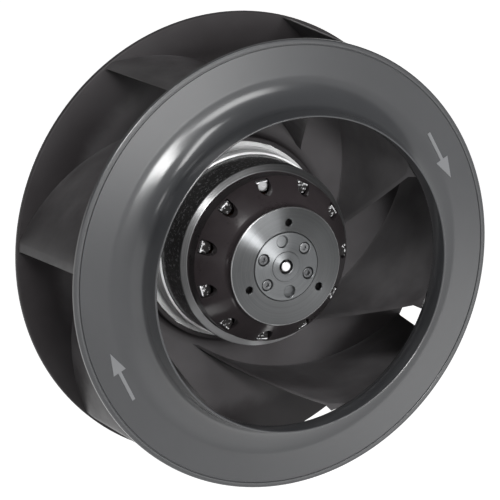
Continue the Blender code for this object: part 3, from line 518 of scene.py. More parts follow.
def shaft_metal():
    """Shaft: ground bright at the nose; the shoulder behind it is painted dark as shade in the gap
    round the nose.
    """
    n = Nodes("shaft_finish")
    radius, angle, y = n.lathe()
    rings = n.groove_noise(radius, angle, y, 3000.0, 0.3)
    ground = n.mottle(rings, (0.74, 0.745, 0.75), (0.93, 0.93, 0.935))
    ground = n.blend(n.spread(radius, 1.4 * MM, 2.5 * MM, 0.0, 0.85), ground, (0.3, 0.3, 0.305))
    nose = n.spread(radius, 2.55 * MM, 2.85 * MM, 1.0, 0.0)
    side = n.math("MULTIPLY", nose, n.spread(y, -84.6 * MM, -84.8 * MM, 0.0, 1.0))
    # Painted shade: the shoulder behind the nose and the shaft below it are painted near black, as
    # shade in the bore.
    shoulder = n.spread(y, -80.0 * MM, -80.5 * MM, 0.0, 1.0)
    shoulder_shade = n.math("MULTIPLY", n.math("SUBTRACT", 1.0, nose), shoulder)
    tint = n.blend(shoulder_shade, n.blend(side, (0.5, 0.5, 0.51), ground), (0.035, 0.034, 0.033))
    n.bump(rings, 0.1, 0.08 * MM)
    return n.finish(tint, n.vary(rings, 0.26, 0.34), metallic=1.0)


def cap_metal():
    """Cap: enamel on the roof, bare turned metal on the face of the boss, a painted highlight round
    the boss's edge, and painted shade in the tapped holes.
    """
    n = Nodes("cap_finish")
    where = n.position()
    radius, angle, y = n.lathe()
    rings = n.groove_noise(radius, angle, y, FACE_PITCH, 0.3)
    dust = n.noise(where, 32.0, 6.0, 0.7)
    enamel = n.spread(dust, 0.35, 0.75, 0.0, 1.0)
    enamel = n.blend(enamel, (0.024, 0.0195, 0.0208), (0.038, 0.032, 0.034))
    steel = n.mottle(rings, (0.063, 0.065, 0.0667), (0.0872, 0.0898, 0.0919))
    # Painted highlight: a bright ring along the rounded edge of the boss, all the way round.
    rim = n.spread(radius, BOSS_RADIUS - 0.8 * MM, BOSS_RADIUS - 0.4 * MM, 0.0, 0.8)
    steel = n.blend(rim, steel, (0.5, 0.505, 0.51))
    inside = n.math("LESS_THAN", radius, BOSS_RADIUS - 0.1 * MM)
    outside = n.math("GREATER_THAN", radius, PLATE_RADIUS + 0.1 * MM)
    face_depth = -(BOSS_TOP - 0.6 * MM)
    front = n.math("LESS_THAN", y, face_depth)
    bare = n.math("MULTIPLY", n.math("MULTIPLY", inside, outside), front)
    # Painted shade: the tapped holes are painted near black and lose their coat.
    at_holes = n.within(radius, TAPPED_CIRCLE, TAPPED_RADIUS + 1.5 * MM)
    hole_shade = n.math("MULTIPLY", at_holes, n.math("GREATER_THAN", y, face_depth))
    enamel = n.blend(hole_shade, enamel, (0.004, 0.0037, 0.0038))
    peel = n.math("MULTIPLY", n.noise(where, 260.0, 2.0), 0.4)
    marks = n.math("ADD", n.math("MULTIPLY", rings, bare), peel)
    n.bump(marks, 0.12, 0.1 * MM, n.lean(radius, FACE_LEAN))
    n.brush(0.92)
    rough = n.math("ADD", n.math("MULTIPLY", bare, 0.055), n.vary(dust, 0.25, 0.32))
    coat = n.math("SUBTRACT", 1.0, n.math("ADD", n.math("MULTIPLY", bare, 0.65), hole_shade))
    return n.finish(n.blend(bare, enamel, steel), rough, bare, 0.15, coat, 0.18)


def stack_metal():
    """Rotor steel: sprayed black and pitted on its side, bare metal in front; the face is painted
    lighter towards the bottom as a reflection of the floor, and has painted highlights along its
    edges.
    """
    n = Nodes("stack_finish")
    where = n.position()
    radius, angle, y = n.lathe()
    sheets = n.math("SINE", n.math("MULTIPLY", y, TAU / (0.5 * MM)))
    pits = n.noise(where, 420.0, 5.0, 0.75)
    specks = n.spread(n.noise(where, 520.0, 3.0, 0.8), 0.56, 0.62, 0.0, 1.0)
    rings = n.groove_noise(radius, angle, y, 3000.0, 0.4)
    front = n.math("LESS_THAN", y, -(STACK_FRONT - 0.6 * MM))
    # Painted reflection: the face is painted lighter towards the bottom, as the floor's reflection
    # in it.
    low = n.spread(n.split(where)[2], -10.0 * MM, -40.0 * MM, 0.0, 1.0, smooth=True)
    side = n.blend(specks, (0.011, 0.0105, 0.0105), (0.2, 0.2, 0.205))
    face = n.mottle(rings, (0.06, 0.06, 0.061), (0.11, 0.11, 0.112))
    face = n.blend(low, face, (0.34, 0.34, 0.345))
    # Painted highlights: pale lines along the outer and inner edges of the face.
    outer_edge_highlight = n.spread(radius, ROTOR_RADIUS - 0.5 * MM, ROTOR_RADIUS - 0.3 * MM, 0.0, 1.0)
    inner_edge_highlight = n.spread(radius, CAP_RADIUS + 0.8 * MM, CAP_RADIUS + MM, 1.0, 0.0)
    edge_highlight = n.math("MULTIPLY", n.math("ADD", outer_edge_highlight, inner_edge_highlight), 0.3, clamp=True)
    face = n.blend(edge_highlight, face, (0.4, 0.4, 0.41))
    leaned = n.lean(radius, 21.0)
    n.link(leaned, n.shader.inputs["Coat Normal"])
    n.bump(n.math("ADD", pits, n.math("MULTIPLY", sheets, 0.08)), 0.3, 0.2 * MM, leaned)
    n.brush(0.85)
    rough = n.math("ADD", n.math("MULTIPLY", front, -0.04), n.vary(pits, 0.38, 0.5))
    metallic = n.math("MULTIPLY", front, 0.9)
    return n.finish(n.blend(front, side, face), rough, metallic, 0.4, 0.8, 0.2)


def ring_metal():
    """Spun aluminium: bright, with streaks that run round it."""
    n = Nodes("ring_finish")
    radius, angle, y = n.lathe()
    streaks = n.groove_noise(radius, angle, y, 800.0, 0.9, 5.0)
    grime = n.noise(n.position(), 70.0, 5.0, 0.7)
    tint = n.spread(streaks, 0.3, 0.46, 0.0, 1.0)
    tint = n.blend(tint, (0.2, 0.2, 0.205), (0.96, 0.963, 0.965))
    tint = n.blend(n.spread(grime, 0.6, 0.8, 0.0, 0.7), tint, (0.1, 0.1, 0.1))
    n.bump(streaks, 0.35, 0.2 * MM)
    n.brush(0.4)
    return n.finish(tint, n.vary(streaks, 0.4, 0.28), metallic=0.15)


def cast_metal(name, dark, light, roughness, scale=260.0):
    """Sand-grained casting with a few darker hollows."""
    n = Nodes(name)
    where = n.position()
    grain = n.noise(where, scale, 4.0, 0.6)
    tint = n.mottle(n.noise(where, 38.0, 4.0, 0.6), dark, light)
    n.bump(grain, 0.35, 0.3 * MM)
    return n.finish(tint, n.vary(grain, roughness * 0.85, roughness * 1.2), metallic=1.0)


def nub_metal():
    """Cage nubs: enamelled with the cap, rubbed bare at the flats, with a painted highlight on one
    crest.
    """
    n = Nodes("nub_finish")
    x, _, z = n.split(n.position())
    wear = n.noise(n.position(), 650.0, 3.0, 0.7)
    rubbed = n.spread(wear, 0.46, 0.52, 0.0, 1.0)
    flat = n.spread(n.radius(x, z), NUB_FLAT - 0.9 * MM, NUB_FLAT - 0.5 * MM, 0.0, 1.0)
    spots = n.spread(wear, 0.58, 0.63, 0.0, 0.8)
    # Painted highlight: the crest of one nub is painted bright and bare as the lamps' reflection on
    # it.
    crest_x, crest_z = GLINT_CREST
    aside = n.radius(n.math("SUBTRACT", x, crest_x), n.math("SUBTRACT", z, crest_z))
    crest = n.spread(aside, 2.2 * MM, 2.9 * MM, 0.5, 0.0)
    bare = n.math("MAXIMUM", n.math("MULTIPLY", flat, rubbed), spots)
    bare = n.math("MAXIMUM", bare, crest)
    tint = n.blend(bare, (0.012, 0.011, 0.011), (0.72, 0.72, 0.73))
    n.bump(wear, 0.4, 0.4 * MM)
    return n.finish(tint, n.vary(wear, 0.42, 0.34), n.math("MULTIPLY", bare, 0.8), 0.1)


def winding_metal():
    """Enamelled copper wire, wound about the axis."""
    n = Nodes("winding_finish")
    wires = n.groove_noise(*n.lathe(), 2200.0, 1.0, 2.0, 0.5)
    n.bump(wires, 0.6, 0.6 * MM)
    return n.finish(n.mottle(wires, (0.1, 0.038, 0.018), (0.19, 0.08, 0.035)), 0.35, 0.85)


def rubber():
    n = Nodes("rubber_finish")
    grain = n.noise(n.position(), 700.0, 3.0)
    tint = n.mottle(grain, (0.016, 0.016, 0.017), (0.03, 0.03, 0.031))
    n.bump(grain, 0.3, 0.2 * MM)
    return n.finish(tint, n.vary(grain, 0.55, 0.72), specular=0.3)


# Impeller


def neck_curve(outer_throat):
    """Hollow curve from the neck down to the annulus, a quarter of an ellipse."""
    run, rise = NECK_REACH - outer_throat, FILLET_CENTRE[1] - RIM_PLANE
    steps = 24
    points = []
    for step in range(1, steps + 1):
        angle = math.pi / 2.0 * step / steps
        radius = NECK_REACH - run * math.cos(angle)
        points.append((radius, FILLET_CENTRE[1] - rise * math.sin(angle)))
    return points


def shroud_profile():
    """Lip, neck, flat annulus, the groove inside the rim, the rim and the underside."""
    outer_throat = THROAT_RADIUS + SHEET
    lip, groove, rim, edge = 0.6 * MM, 0.5 * MM, 0.7 * MM, 0.4 * MM
    profile = arc((THROAT_RADIUS + lip, LIP_TOP - lip), lip, 180.0, 0.0, 8)
    profile += [(outer_throat - 0.3 * MM, 102.6 * MM), (outer_throat, FILLET_CENTRE[1])]
    profile += neck_curve(outer_throat)
    profile += [(118.2 * MM, RIM_PLANE), (119.1 * MM, RIM_PLANE - 0.02 * MM)]
    profile += [(119.3 * MM, RIM_PLANE - groove), (119.6 * MM, RIM_PLANE - groove)]
    profile += arc((120.0 * MM, RIM_PLANE - 0.3 * MM), 0.3 * MM, 180.0, 90.0, 4)
    profile += arc((SHROUD_RADIUS - rim, RIM_PLANE - rim), rim, 90.0, 0.0, 4)
    profile += [(SHROUD_RADIUS, SHROUD_UNDER + edge), (SHROUD_RADIUS - edge, SHROUD_UNDER)]
    profile += arc(FILLET_CENTRE, FILLET + SHEET, 270.0, 180.0, 20)
    return profile


def disc_profile():
    """Collar, the fillet at its foot, and the plate with its rounded rim."""
    fillet, front, rear = 3.0 * MM, 0.8 * MM, 0.5 * MM
    profile = [(COLLAR_BORE, DISC_REAR), (COLLAR_BORE, COLLAR_TOP)]
    profile += arc((COLLAR_RADIUS - front, COLLAR_TOP - front), front, 90.0, 0.0, 4)
    profile += arc((COLLAR_RADIUS + fillet, DISC_FRONT + fillet), fillet, 180.0, 270.0, 8)
    profile += arc((DISC_RADIUS - front, DISC_FRONT - front), front, 90.0, 0.0, 4)
    profile += arc((DISC_RADIUS - rear, DISC_REAR + rear), rear, 0.0, -90.0, 3)
    return profile


def blade_angle(radius, arc_radius):
    """Angle at which a blade side of this arc radius crosses this radius."""
    centre_x = SHROUD_RADIUS - BLADE_ARC_RADIUS * math.cos(BLADE_OUTLET_ANGLE)
    centre_y = BLADE_ARC_RADIUS * math.sin(BLADE_OUTLET_ANGLE)
    distance = math.hypot(centre_x, centre_y)
    cosine = (radius**2 - arc_radius**2 + distance**2) / (2.0 * distance * radius)
    return math.atan2(centre_y, centre_x) - math.acos(max(-1.0, min(1.0, cosine)))


def tip_height(radius):
    """Height of the blade tip, just under the shroud."""
    reach = FILLET + SHEET + SEAT
    inward = max(0.0, FILLET_CENTRE[0] - radius)
    return FILLET_CENTRE[1] - math.sqrt(max(0.0, reach**2 - inward**2))


def blade_half(chord, rise, height):
    """Half thickness of a blade, with the fillets at its root and its tip."""
    lead, middle, trail = 1.0 * MM, 3.4 * MM, 2.2 * MM
    ends = lead if chord < 0.5 else trail
    base = ends + (middle - ends) * math.sin(math.pi * min(chord, 1.0 - chord))
    root = 0.7 * MM * max(0.0, 1.0 - height / (2.0 * MM)) ** 2
    foot = 3.2 * MM * max(0.0, (rise - 0.92) / 0.08) * max(0.0, 1.0 - chord / 0.2)
    soft = 0.7 if chord in (0.0, 1.0) else 1.0
    return (base + root + foot) / 2.0 * soft


def tip_radii():
    """Radii of the points along a blade's tip: round the fillet, then outwards."""
    reach = FILLET + SHEET + SEAT
    first = THROAT_RADIUS + BLADE_TIP_INSET
    last = SHROUD_RADIUS - BLADE_EDGE_INSET
    start = math.acos((FILLET_CENTRE[0] - first) / reach)
    edge, steps = 0.2 * MM, 12
    radii = [first, first + edge]
    for step in range(1, steps):
        angle = start + (math.pi / 2.0 - start) * step / steps
        radii.append(FILLET_CENTRE[0] - reach * math.cos(angle))
    run = last - FILLET_CENTRE[0]
    radii += [FILLET_CENTRE[0] + run * step / steps for step in range(steps)]
    return radii + [last - edge, last]


def blade_mesh(first_angle):
    """One blade: a curved sheet whose rows are closest at its root and its tip."""
    tips = tip_radii()
    foot = DISC_FRONT + SEAT
    foot_edge, tip_edge = BLADE_HUB_RADIUS, DISC_RADIUS - BLADE_DISC_INSET
    rises = [0.0, 0.006, 0.014, 0.028, 0.1, 0.25, 0.4, 0.55, 0.7, 0.82, 0.92, 0.95, 0.975, 1.0]
    bm = bmesh.new()
    grids = []
    for side in (-1.0, 1.0):
        rows = []
        for rise in rises:
            row = []
            for tip in tips:
                chord = (tip - tips[0]) / (tips[-1] - tips[0])
                root = foot_edge + (tip_edge - foot_edge) * chord
                radius = root + (tip - root) * rise
                height = (tip_height(tip) - foot) * rise
                half = blade_half(chord, rise, height)
                angle = first_angle + blade_angle(radius, BLADE_ARC_RADIUS + side * half)
                row.append(bm.verts.new((*polar(radius, angle), foot + height)))
            rows.append(row)
        grids.append(rows)
    stitch(bm, grids[0], grids[1])
    return mesh_from(bm, "blade", BLADE_SHARP_ANGLE)


def stitch(bm, inner, outer):
    """Faces of both sides of a thin sheet and of its four edges."""
    rows, columns = len(inner), len(inner[0])
    for row in range(rows - 1):
        for column in range(columns - 1):
            for grid in (inner, outer):
                corners = (grid[row][column], grid[row][column + 1])
                bm.faces.new(corners + (grid[row + 1][column + 1], grid[row + 1][column]))
        for column in (0, columns - 1):
            corners = (inner[row][column], outer[row][column])
            bm.faces.new(corners + (outer[row + 1][column], inner[row + 1][column]))
    for row in (0, rows - 1):
        for column in range(columns - 1):
            corners = (inner[row][column], inner[row][column + 1])
            bm.faces.new(corners + (outer[row][column + 1], outer[row][column]))


def arrow_mesh(tail, tip):
    """Running arrow, a thin raised shape on the shroud's annulus, from tail to tip."""
    head, wide, narrow = 12.1 * MM, 3.8 * MM, 0.9 * MM
    start, end = Vector(tail), Vector(tip)
    along = (end - start).normalized()
    across = Vector((-along.y, along.x))
    neck = end - along * head
    corners = [start - across * narrow, neck - across * narrow, neck - across * wide, end]
    corners += [neck + across * wide, neck + across * narrow, start + across * narrow]
    bm = bmesh.new()
    outline = [tuple(corner) for corner in corners]
    add_prism(bm, outline, RIM_PLANE - 0.1 * MM, RIM_PLANE + 0.22 * MM)
    bmesh.ops.triangulate(bm, faces=bm.faces)
    return mesh_from(bm, "arrow")


def build_impeller():
    shell = shroud_plastic()
    # The paler tones are dust and painted fill light for the shaded inside of the fan.
    dust_and_fill = ((0.044, 0.041, 0.0425), (0.112, 0.108, 0.111))
    clean = ((0.03, 0.028, 0.029), (0.055, 0.0525, 0.054))
    inner = dust_and_fill_plastic("impeller_finish", dust_and_fill, clean, 112.0 * MM, 124.0 * MM)
    dust_and_fill = ((0.056, 0.052, 0.054), (0.085, 0.081, 0.084))
    clean = ((0.019, 0.0165, 0.0175), (0.03, 0.0275, 0.029))
    plate = dust_and_fill_plastic("disc_finish", dust_and_fill, clean, 99.0 * MM, 111.0 * MM)
    raised = arrow_plastic()
    shroud = place("shroud_skin", turned_mesh("shroud_skin", shroud_profile(), 192))
    settle(shroud, shell, IMPELLER, "shroud", slot="shroud_plastic")
    disc = place("disc_skin", turned_mesh("disc_skin", disc_profile(), 192))
    settle(disc, plate, IMPELLER, "back_disc", slot="impeller_plastic")
    for index in range(BLADE_COUNT):
        mesh = blade_mesh(BLADE_FIRST_ANGLE + TAU * index / BLADE_COUNT)
        blade = place("blade_skin_%d" % (index + 1), mesh)
        settle(blade, inner, IMPELLER, "blade_%d" % (index + 1), slot="impeller_plastic")
    for name, radius, tail, tip in ARROWS:
        ends = [polar(radius, math.radians(angle)) for angle in (tail, tip)]
        arrow = place("arrow_" + name, arrow_mesh(*ends))
        settle(arrow, raised, IMPELLER, slot="shroud_plastic")


# Rotor and hub


def ring_profile():
    """Bright ring: edge, band, first swell, groove and the flare that meets the collar."""
    band_foot, groove_foot, flare_foot = 30.0 * MM, 28.7 * MM, 24.7 * MM
    edge, swell, groove, step_height = 0.6 * MM, 0.2 * MM, 0.8 * MM, 0.3 * MM
    profile = [(RING_BORE, RING_FOOT), (RING_BORE, RING_TOP)]
    profile += arc((RING_BAND - edge, RING_TOP - edge), edge, 90.0, 0.0, 4)
    profile += [(RING_BAND - swell, 34.6 * MM), (RING_BAND + swell, band_foot + 0.4 * MM)]
    profile += [(RING_BAND, band_foot), (RING_BAND - groove, band_foot - step_height)]
    profile.append((RING_BAND - groove, groove_foot + step_height))
    profile.append((RING_BAND - 0.1 * MM, groove_foot))
    steps = 10
    for step in range(1, steps + 1):
        share = step / steps
        radius = RING_BAND + (RING_RADIUS - RING_BAND) * share**2
        profile.append((radius, groove_foot + (flare_foot - groove_foot) * share))
    profile.append((RING_RADIUS, RING_FOOT))
    return profile


def stack_profile():
    """Rotor steel: a plain ring with a rounded front edge."""
    soft = 0.5 * MM
    profile = [(ROTOR_BORE, STACK_REAR), (ROTOR_RADIUS, STACK_REAR)]
    profile += arc((ROTOR_RADIUS - soft, STACK_FRONT - soft), soft, 0.0, 90.0, 4)
    profile.append((ROTOR_BORE, STACK_FRONT))
    return profile


def boss_root():
    """Hollow rounding where the roof climbs into the wall of the boss."""
    reach = 5.0 * MM
    climb = math.atan2(BOSS_FOOT - CAP_SHOULDER, CAP_RADIUS - BOSS_RADIUS)
    run = reach * math.tan((math.pi / 2.0 - climb) / 2.0)
    centre = (BOSS_RADIUS + reach, BOSS_FOOT + run)
    return arc(centre, reach, 270.0 - math.degrees(climb), 180.0, 8)


def cap_profile():
    """Bead, wall, shoulder, roof, boss, the hub plate's seat, bore and ceiling."""
    wall, bead, shoulder, rim = 1.8 * MM, 0.5 * MM, 1.0 * MM, 0.8 * MM
    seat, bore = PLATE_RADIUS + SEAT, 6.7 * MM
    profile = [(CAP_RADIUS - wall, CAP_FOOT), (CAP_RADIUS + bead, CAP_FOOT)]
    profile += [(CAP_RADIUS + bead, CAP_FOOT + 0.4 * MM), (CAP_RADIUS, CAP_FOOT + 0.9 * MM)]
    profile += arc((CAP_RADIUS - shoulder, CAP_SHOULDER - shoulder), shoulder, 0.0, 45.0, 5)
    profile += boss_root()
    profile += arc((BOSS_RADIUS - rim, BOSS_TOP - rim), rim, 0.0, 90.0, 6)
    profile += [(seat, BOSS_TOP), (seat, PLATE_UNDER - SEAT)]
    profile += [(bore, PLATE_UNDER - SEAT), (bore, CAP_CEILING)]
    profile.append((CAP_RADIUS - 8.6 * MM, CAP_CEILING - 4.2 * MM))
    profile.append((CAP_RADIUS - wall, CAP_SHOULDER - 2.6 * MM))
    return profile


def nub_outline(grow):
    """Outline of a cage nub, or of the window round it: a D whose flat faces outwards."""
    half, flat = NUB_HALF_WIDTH + grow, NUB_FLAT + grow
    points = [(flat, -half), (flat, half)]
    steps = 10
    for step in range(steps + 1):
        x, y = polar(half, math.pi / 2.0 + math.pi * step / steps)
        points.append((NUB_CENTRE + x, y))
    return points


def build_cap():
    cap = place("cap_skin", turned_mesh("cap_skin", cap_profile(), 132))
    spans = [(CAGE_TOP - SEAT, BOSS_TOP)] * NUB_COUNT
    windows = repeated("windows", NUB_ANGLE, nub_outline(0.6 * MM), spans)
    boolean(cap, windows, "DIFFERENCE")
    spans = [(BOSS_TOP - TAPPED_DEPTH, BOSS_TOP + MM)] * TAPPED_COUNT
    hole = circle_outline((TAPPED_CIRCLE, 0.0), TAPPED_RADIUS, 28)
    boolean(cap, repeated("holes", TAPPED_ANGLE, hole, spans), "DIFFERENCE")
    sinks = countersinks(
        "sinks", TAPPED_COUNT, TAPPED_ANGLE, TAPPED_CIRCLE, TAPPED_RADIUS, BOSS_TOP
    )
    boolean(cap, sinks, "DIFFERENCE")
    settle(cap, cap_metal(), IMPELLER, "rotor_cap", slot="rotor_black")


def build_rotor():
    stack = place("stack_skin", turned_mesh("stack_skin", stack_profile(), 160))
    settle(stack, stack_metal(), IMPELLER, "rotor_stack", slot="rotor_steel")
    ring = place("ring_skin", turned_mesh("ring_skin", ring_profile(), 160))
    settle(ring, ring_metal(), IMPELLER, "rotor_ring", slot="rotor_aluminium")
    outer = CAP_RADIUS - 2.1 * MM
    profile = [(CAGE_BORE, CAP_FOOT), (outer, CAP_FOOT), (outer, CAGE_TOP), (CAGE_BORE, CAGE_TOP)]
    cage = place("cage_skin", turned_mesh("cage_skin", profile, 132))
    spans = [(CAGE_TOP + 0.02 * MM, CAGE_TOP + NUB_HEIGHT)] * NUB_COUNT
    nubs = place("nub_skin", repeated("nub_skin", NUB_ANGLE, nub_outline(0.0), spans))
    bevel = nubs.modifiers.new("soft_edges", "BEVEL")
    bevel.width = 0.4 * MM
    bevel.segments = 2
    settle(cage, nub_metal(), IMPELLER, "cage_ring_front", slot="cage_aluminium")
    settle(nubs, cage.data.materials[0], IMPELLER, slot="cage_aluminium")


def hub_profile():
    """Plate with a raised ring round its bore and a spigot behind it."""
    bore, spigot, spigot_foot = 4.0 * MM, 6.4 * MM, 73.8 * MM
    raised, ring_top = 0.3 * MM, PLATE_TOP + 0.3 * MM
    profile = [(bore, spigot_foot), (spigot, spigot_foot), (spigot, PLATE_UNDER)]
    profile += [(PLATE_RADIUS, PLATE_UNDER), (PLATE_RADIUS, PLATE_TOP - 0.4 * MM)]
    profile += [(PLATE_RADIUS - 0.35 * MM, PLATE_TOP), (PLATE_RING + 0.05 * MM, PLATE_TOP)]
    profile += [(PLATE_RING - 0.25 * MM, ring_top), (bore + raised, ring_top)]
    profile.append((bore, ring_top - raised))
    return profile


def build_hub():
    """Hub plate: open seats under the screws, and shallow ones in the blank places."""
    hub = place("hub_skin", turned_mesh("hub_skin", hub_profile(), 120))
    blank = (PLATE_TOP - 1.6 * MM, PLATE_TOP + MM)
    open_seat = (SCREW_UNDER - SEAT, PLATE_TOP + MM)
    spans = [open_seat if seat in SCREW_POSITIONS else blank for seat in range(SCREW_SEATS)]
    outline = circle_outline((SCREW_CIRCLE, 0.0), SCREW_SEAT_RADIUS, 40)
    boolean(hub, repeated("seats", SCREW_ANGLE, outline, spans), "DIFFERENCE")
    sinks = countersinks(
        "seat_sinks", SCREW_SEATS, SCREW_ANGLE, SCREW_CIRCLE, SCREW_SEAT_RADIUS, PLATE_TOP
    )
    boolean(hub, sinks, "DIFFERENCE")
    settle(hub, hub_metal(), IMPELLER, "hub_plate", slot="hub_metal")
    build_screws()
    build_shaft()


def screw_mesh():
    """Cap screw with a domed edge, and the hexagonal socket to cut out of its head."""
    head, shank, socket = 2.9 * MM, 1.5 * MM, 1.35 * MM
    dome, dish, foot = 0.55 * MM, 0.12 * MM, SCREW_UNDER - 5.7 * MM
    profile = [(0.0, foot), (shank, foot), (shank, SCREW_UNDER)]
    profile += [(head, SCREW_UNDER), (head, SCREW_TOP - dome)]
    profile += arc((head - dome, SCREW_TOP - dome), dome, 0.0, 90.0, 4)[1:]
    profile += [(1.75 * MM, SCREW_TOP), (1.6 * MM, SCREW_TOP - dish), (0.0, SCREW_TOP - dish)]
    mesh = turned_mesh("screw", profile, 36)
    bm = bmesh.new()
    outline = circle_outline((0.0, 0.0), socket, 6)
    add_prism(bm, outline, SCREW_TOP - 1.2 * MM, SCREW_TOP + MM)
    return mesh, mesh_from(bm, "socket")


def build_screws():
    metal = cast_metal("screw_finish", (0.05, 0.051, 0.053), (0.15, 0.152, 0.156), 0.34, 700.0)
    for number, position in enumerate(SCREW_POSITIONS, start=1):
        mesh, socket = screw_mesh()
        screw = place("screw_skin_%d" % number, mesh)
        boolean(screw, socket, "DIFFERENCE")
        angle = SCREW_ANGLE + TAU * position / SCREW_SEATS
        turn = Matrix.Rotation(0.7 * number, 4, "Z")
        screw.data.transform(Matrix.Translation((*polar(SCREW_CIRCLE, angle), 0.0)) @ turn)
        settle(screw, metal, IMPELLER, "hub_screw_%d" % number, slot="screw_steel")


def build_shaft():
    """Shaft from its tail and the retaining ring's groove to the nose with its centre."""
    edge, foot, groove_foot, groove_top = 0.5 * MM, 4.7 * MM, 6.4 * MM, 8.0 * MM
    nose_foot = SHAFT_TIP - SHAFT_NOSE_LENGTH
    profile = [(0.0, foot), (SHAFT_RADIUS - edge, foot), (SHAFT_RADIUS, foot + edge)]
    profile += [(SHAFT_RADIUS, groove_foot), (SHAFT_GROOVE_RADIUS, groove_foot)]
    profile += [(SHAFT_GROOVE_RADIUS, groove_top), (SHAFT_RADIUS, groove_top)]
    profile += [(SHAFT_RADIUS, nose_foot), (SHAFT_NOSE_RADIUS, nose_foot)]
    profile += arc((SHAFT_NOSE_RADIUS - edge, SHAFT_TIP - edge), edge, 0.0, 90.0, 4)
    profile += [(0.9 * MM, SHAFT_TIP), (0.0, SHAFT_TIP - 0.7 * MM)]
    shaft = place("shaft_skin", turned_mesh("shaft_skin", profile, 48))
    settle(shaft, shaft_metal(), IMPELLER, "shaft", slot="shaft_steel")


# Motor base


def flange_profile():
    """Cup of the motor flange, the bearing tube, the cover's seat and a ring groove."""
    soft, fillet, rim = 0.4 * MM, 2.0 * MM, 1.5 * MM
    recess, recess_top = COVER_RADIUS + SEAT, 2.8 * MM
    land, land_foot, land_top = 9.5 * MM, 18.0 * MM, 66.2 * MM
    inner, outer, depth = 20.0 * MM, 30.0 * MM, 1.2 * MM
    profile = arc((FLANGE_RADIUS - rim, rim), rim, 270.0, 360.0, 6)
    profile += [(FLANGE_RADIUS, FLANGE_HEIGHT - soft), (FLANGE_RADIUS - soft, FLANGE_HEIGHT)]
    profile += [(FLANGE_INSIDE + soft, FLANGE_HEIGHT), (FLANGE_INSIDE, FLANGE_HEIGHT - soft)]
    profile += arc((FLANGE_INSIDE - fillet, FLANGE_PLATE + fillet), fillet, 0.0, -90.0, 5)
    profile += arc((TUBE_RADIUS + fillet, FLANGE_PLATE + fillet), fillet, 270.0, 180.0, 5)
    profile += [(TUBE_RADIUS, TUBE_TOP - soft), (TUBE_RADIUS - soft, TUBE_TOP)]
    profile += [(TUBE_BORE, TUBE_TOP), (TUBE_BORE, land_top), (land, land_top)]
    profile += [(land, land_foot), (TUBE_BORE, land_foot), (TUBE_BORE, recess_top)]
    profile += [(recess, recess_top), (recess, soft), (recess + soft, 0.0)]
    profile += [(inner - soft, 0.0), (inner, soft)]
    profile += arc((inner + soft, depth - soft), soft, 180.0, 90.0, 3)
    profile += arc((outer - soft, depth - soft), soft, 90.0, 0.0, 3)
    profile += [(outer, soft), (outer + soft, 0.0)]
    return profile


def across(mesh):
    """Turns a mesh about the fan's axis into one about the gland's."""
    turn = Matrix.Rotation(-math.pi / 2.0, 4, "Z") @ Matrix.Translation((0.0, 0.0, GLAND_Z))
    mesh.transform(turn @ Matrix.Rotation(math.pi / 2.0, 4, "Y"))
    return mesh


def build_flange():
    flange = place("flange_skin", turned_mesh("flange_skin", flange_profile(), 160))
    boss = circle_outline((MOUNT_CIRCLE, 0.0), MOUNT_BOSS_RADIUS, 32)
    spans = [(FLANGE_PLATE / 2.0, MOUNT_BOSS_TOP)] * MOUNT_COUNT
    boolean(flange, repeated("bosses", MOUNT_ANGLE, boss, spans), "UNION")
    hole = circle_outline((MOUNT_CIRCLE, 0.0), MOUNT_RADIUS, 36)
    spans = [(-MM, MOUNT_DEPTH)] * MOUNT_COUNT
    boolean(flange, repeated("mounts", MOUNT_ANGLE, hole, spans), "DIFFERENCE")
    sinks = countersinks(
        "mount_sinks", MOUNT_COUNT, MOUNT_ANGLE, MOUNT_CIRCLE, MOUNT_RADIUS, 0.0, -1.0
    )
    boolean(flange, sinks, "DIFFERENCE")
    bm = bmesh.new()
    add_prism(bm, circle_outline((0.0, 0.0), 3.5 * MM, 28), 41.5 * MM, 51.5 * MM)
    boolean(flange, across(mesh_from(bm, "passage")), "DIFFERENCE")
    dark, light = (0.42, 0.425, 0.43), (0.58, 0.585, 0.59)
    metal = turned_metal("flange_finish", dark, light, 0.4, 1400.0, 0.5, 0.3)
    settle(flange, metal, STATOR, "motor_flange", slot="flange_aluminium")


def build_gland():
    """Cable gland: collar outside the wall and a ribbed nose."""
    bore, stem, collar, edge = 2.3 * MM, 3.2 * MM, 4.2 * MM, 0.4 * MM
    inner_end, collar_foot, collar_top = 46.2 * MM, 49.3 * MM, 51.5 * MM
    mouth = 56.5 * MM
    profile = [(bore, inner_end), (stem, inner_end), (stem, collar_foot), (collar, collar_foot)]
    profile += arc((collar, collar_foot + edge), edge, -90.0, 0.0, 4)
    profile += arc((collar, collar_top - edge), edge, 0.0, 90.0, 4)
    for rib in range(4):
        foot = (51.7 + 1.15 * rib) * MM
        crest = (3.2 - 0.12 * rib) * MM
        root = crest - 0.35 * MM
        profile += [(root, foot - 0.1 * MM), (root, foot + 0.25 * MM)]
        profile += [(crest, foot + 0.4 * MM), (crest, foot + 0.9 * MM)]
    profile += [(2.7 * MM, mouth), (bore, mouth)]
    gland = place("gland_skin", across(turned_mesh("gland_skin", profile, 40)))
    settle(gland, rubber(), STATOR, "cable_gland", slot="gland_rubber")


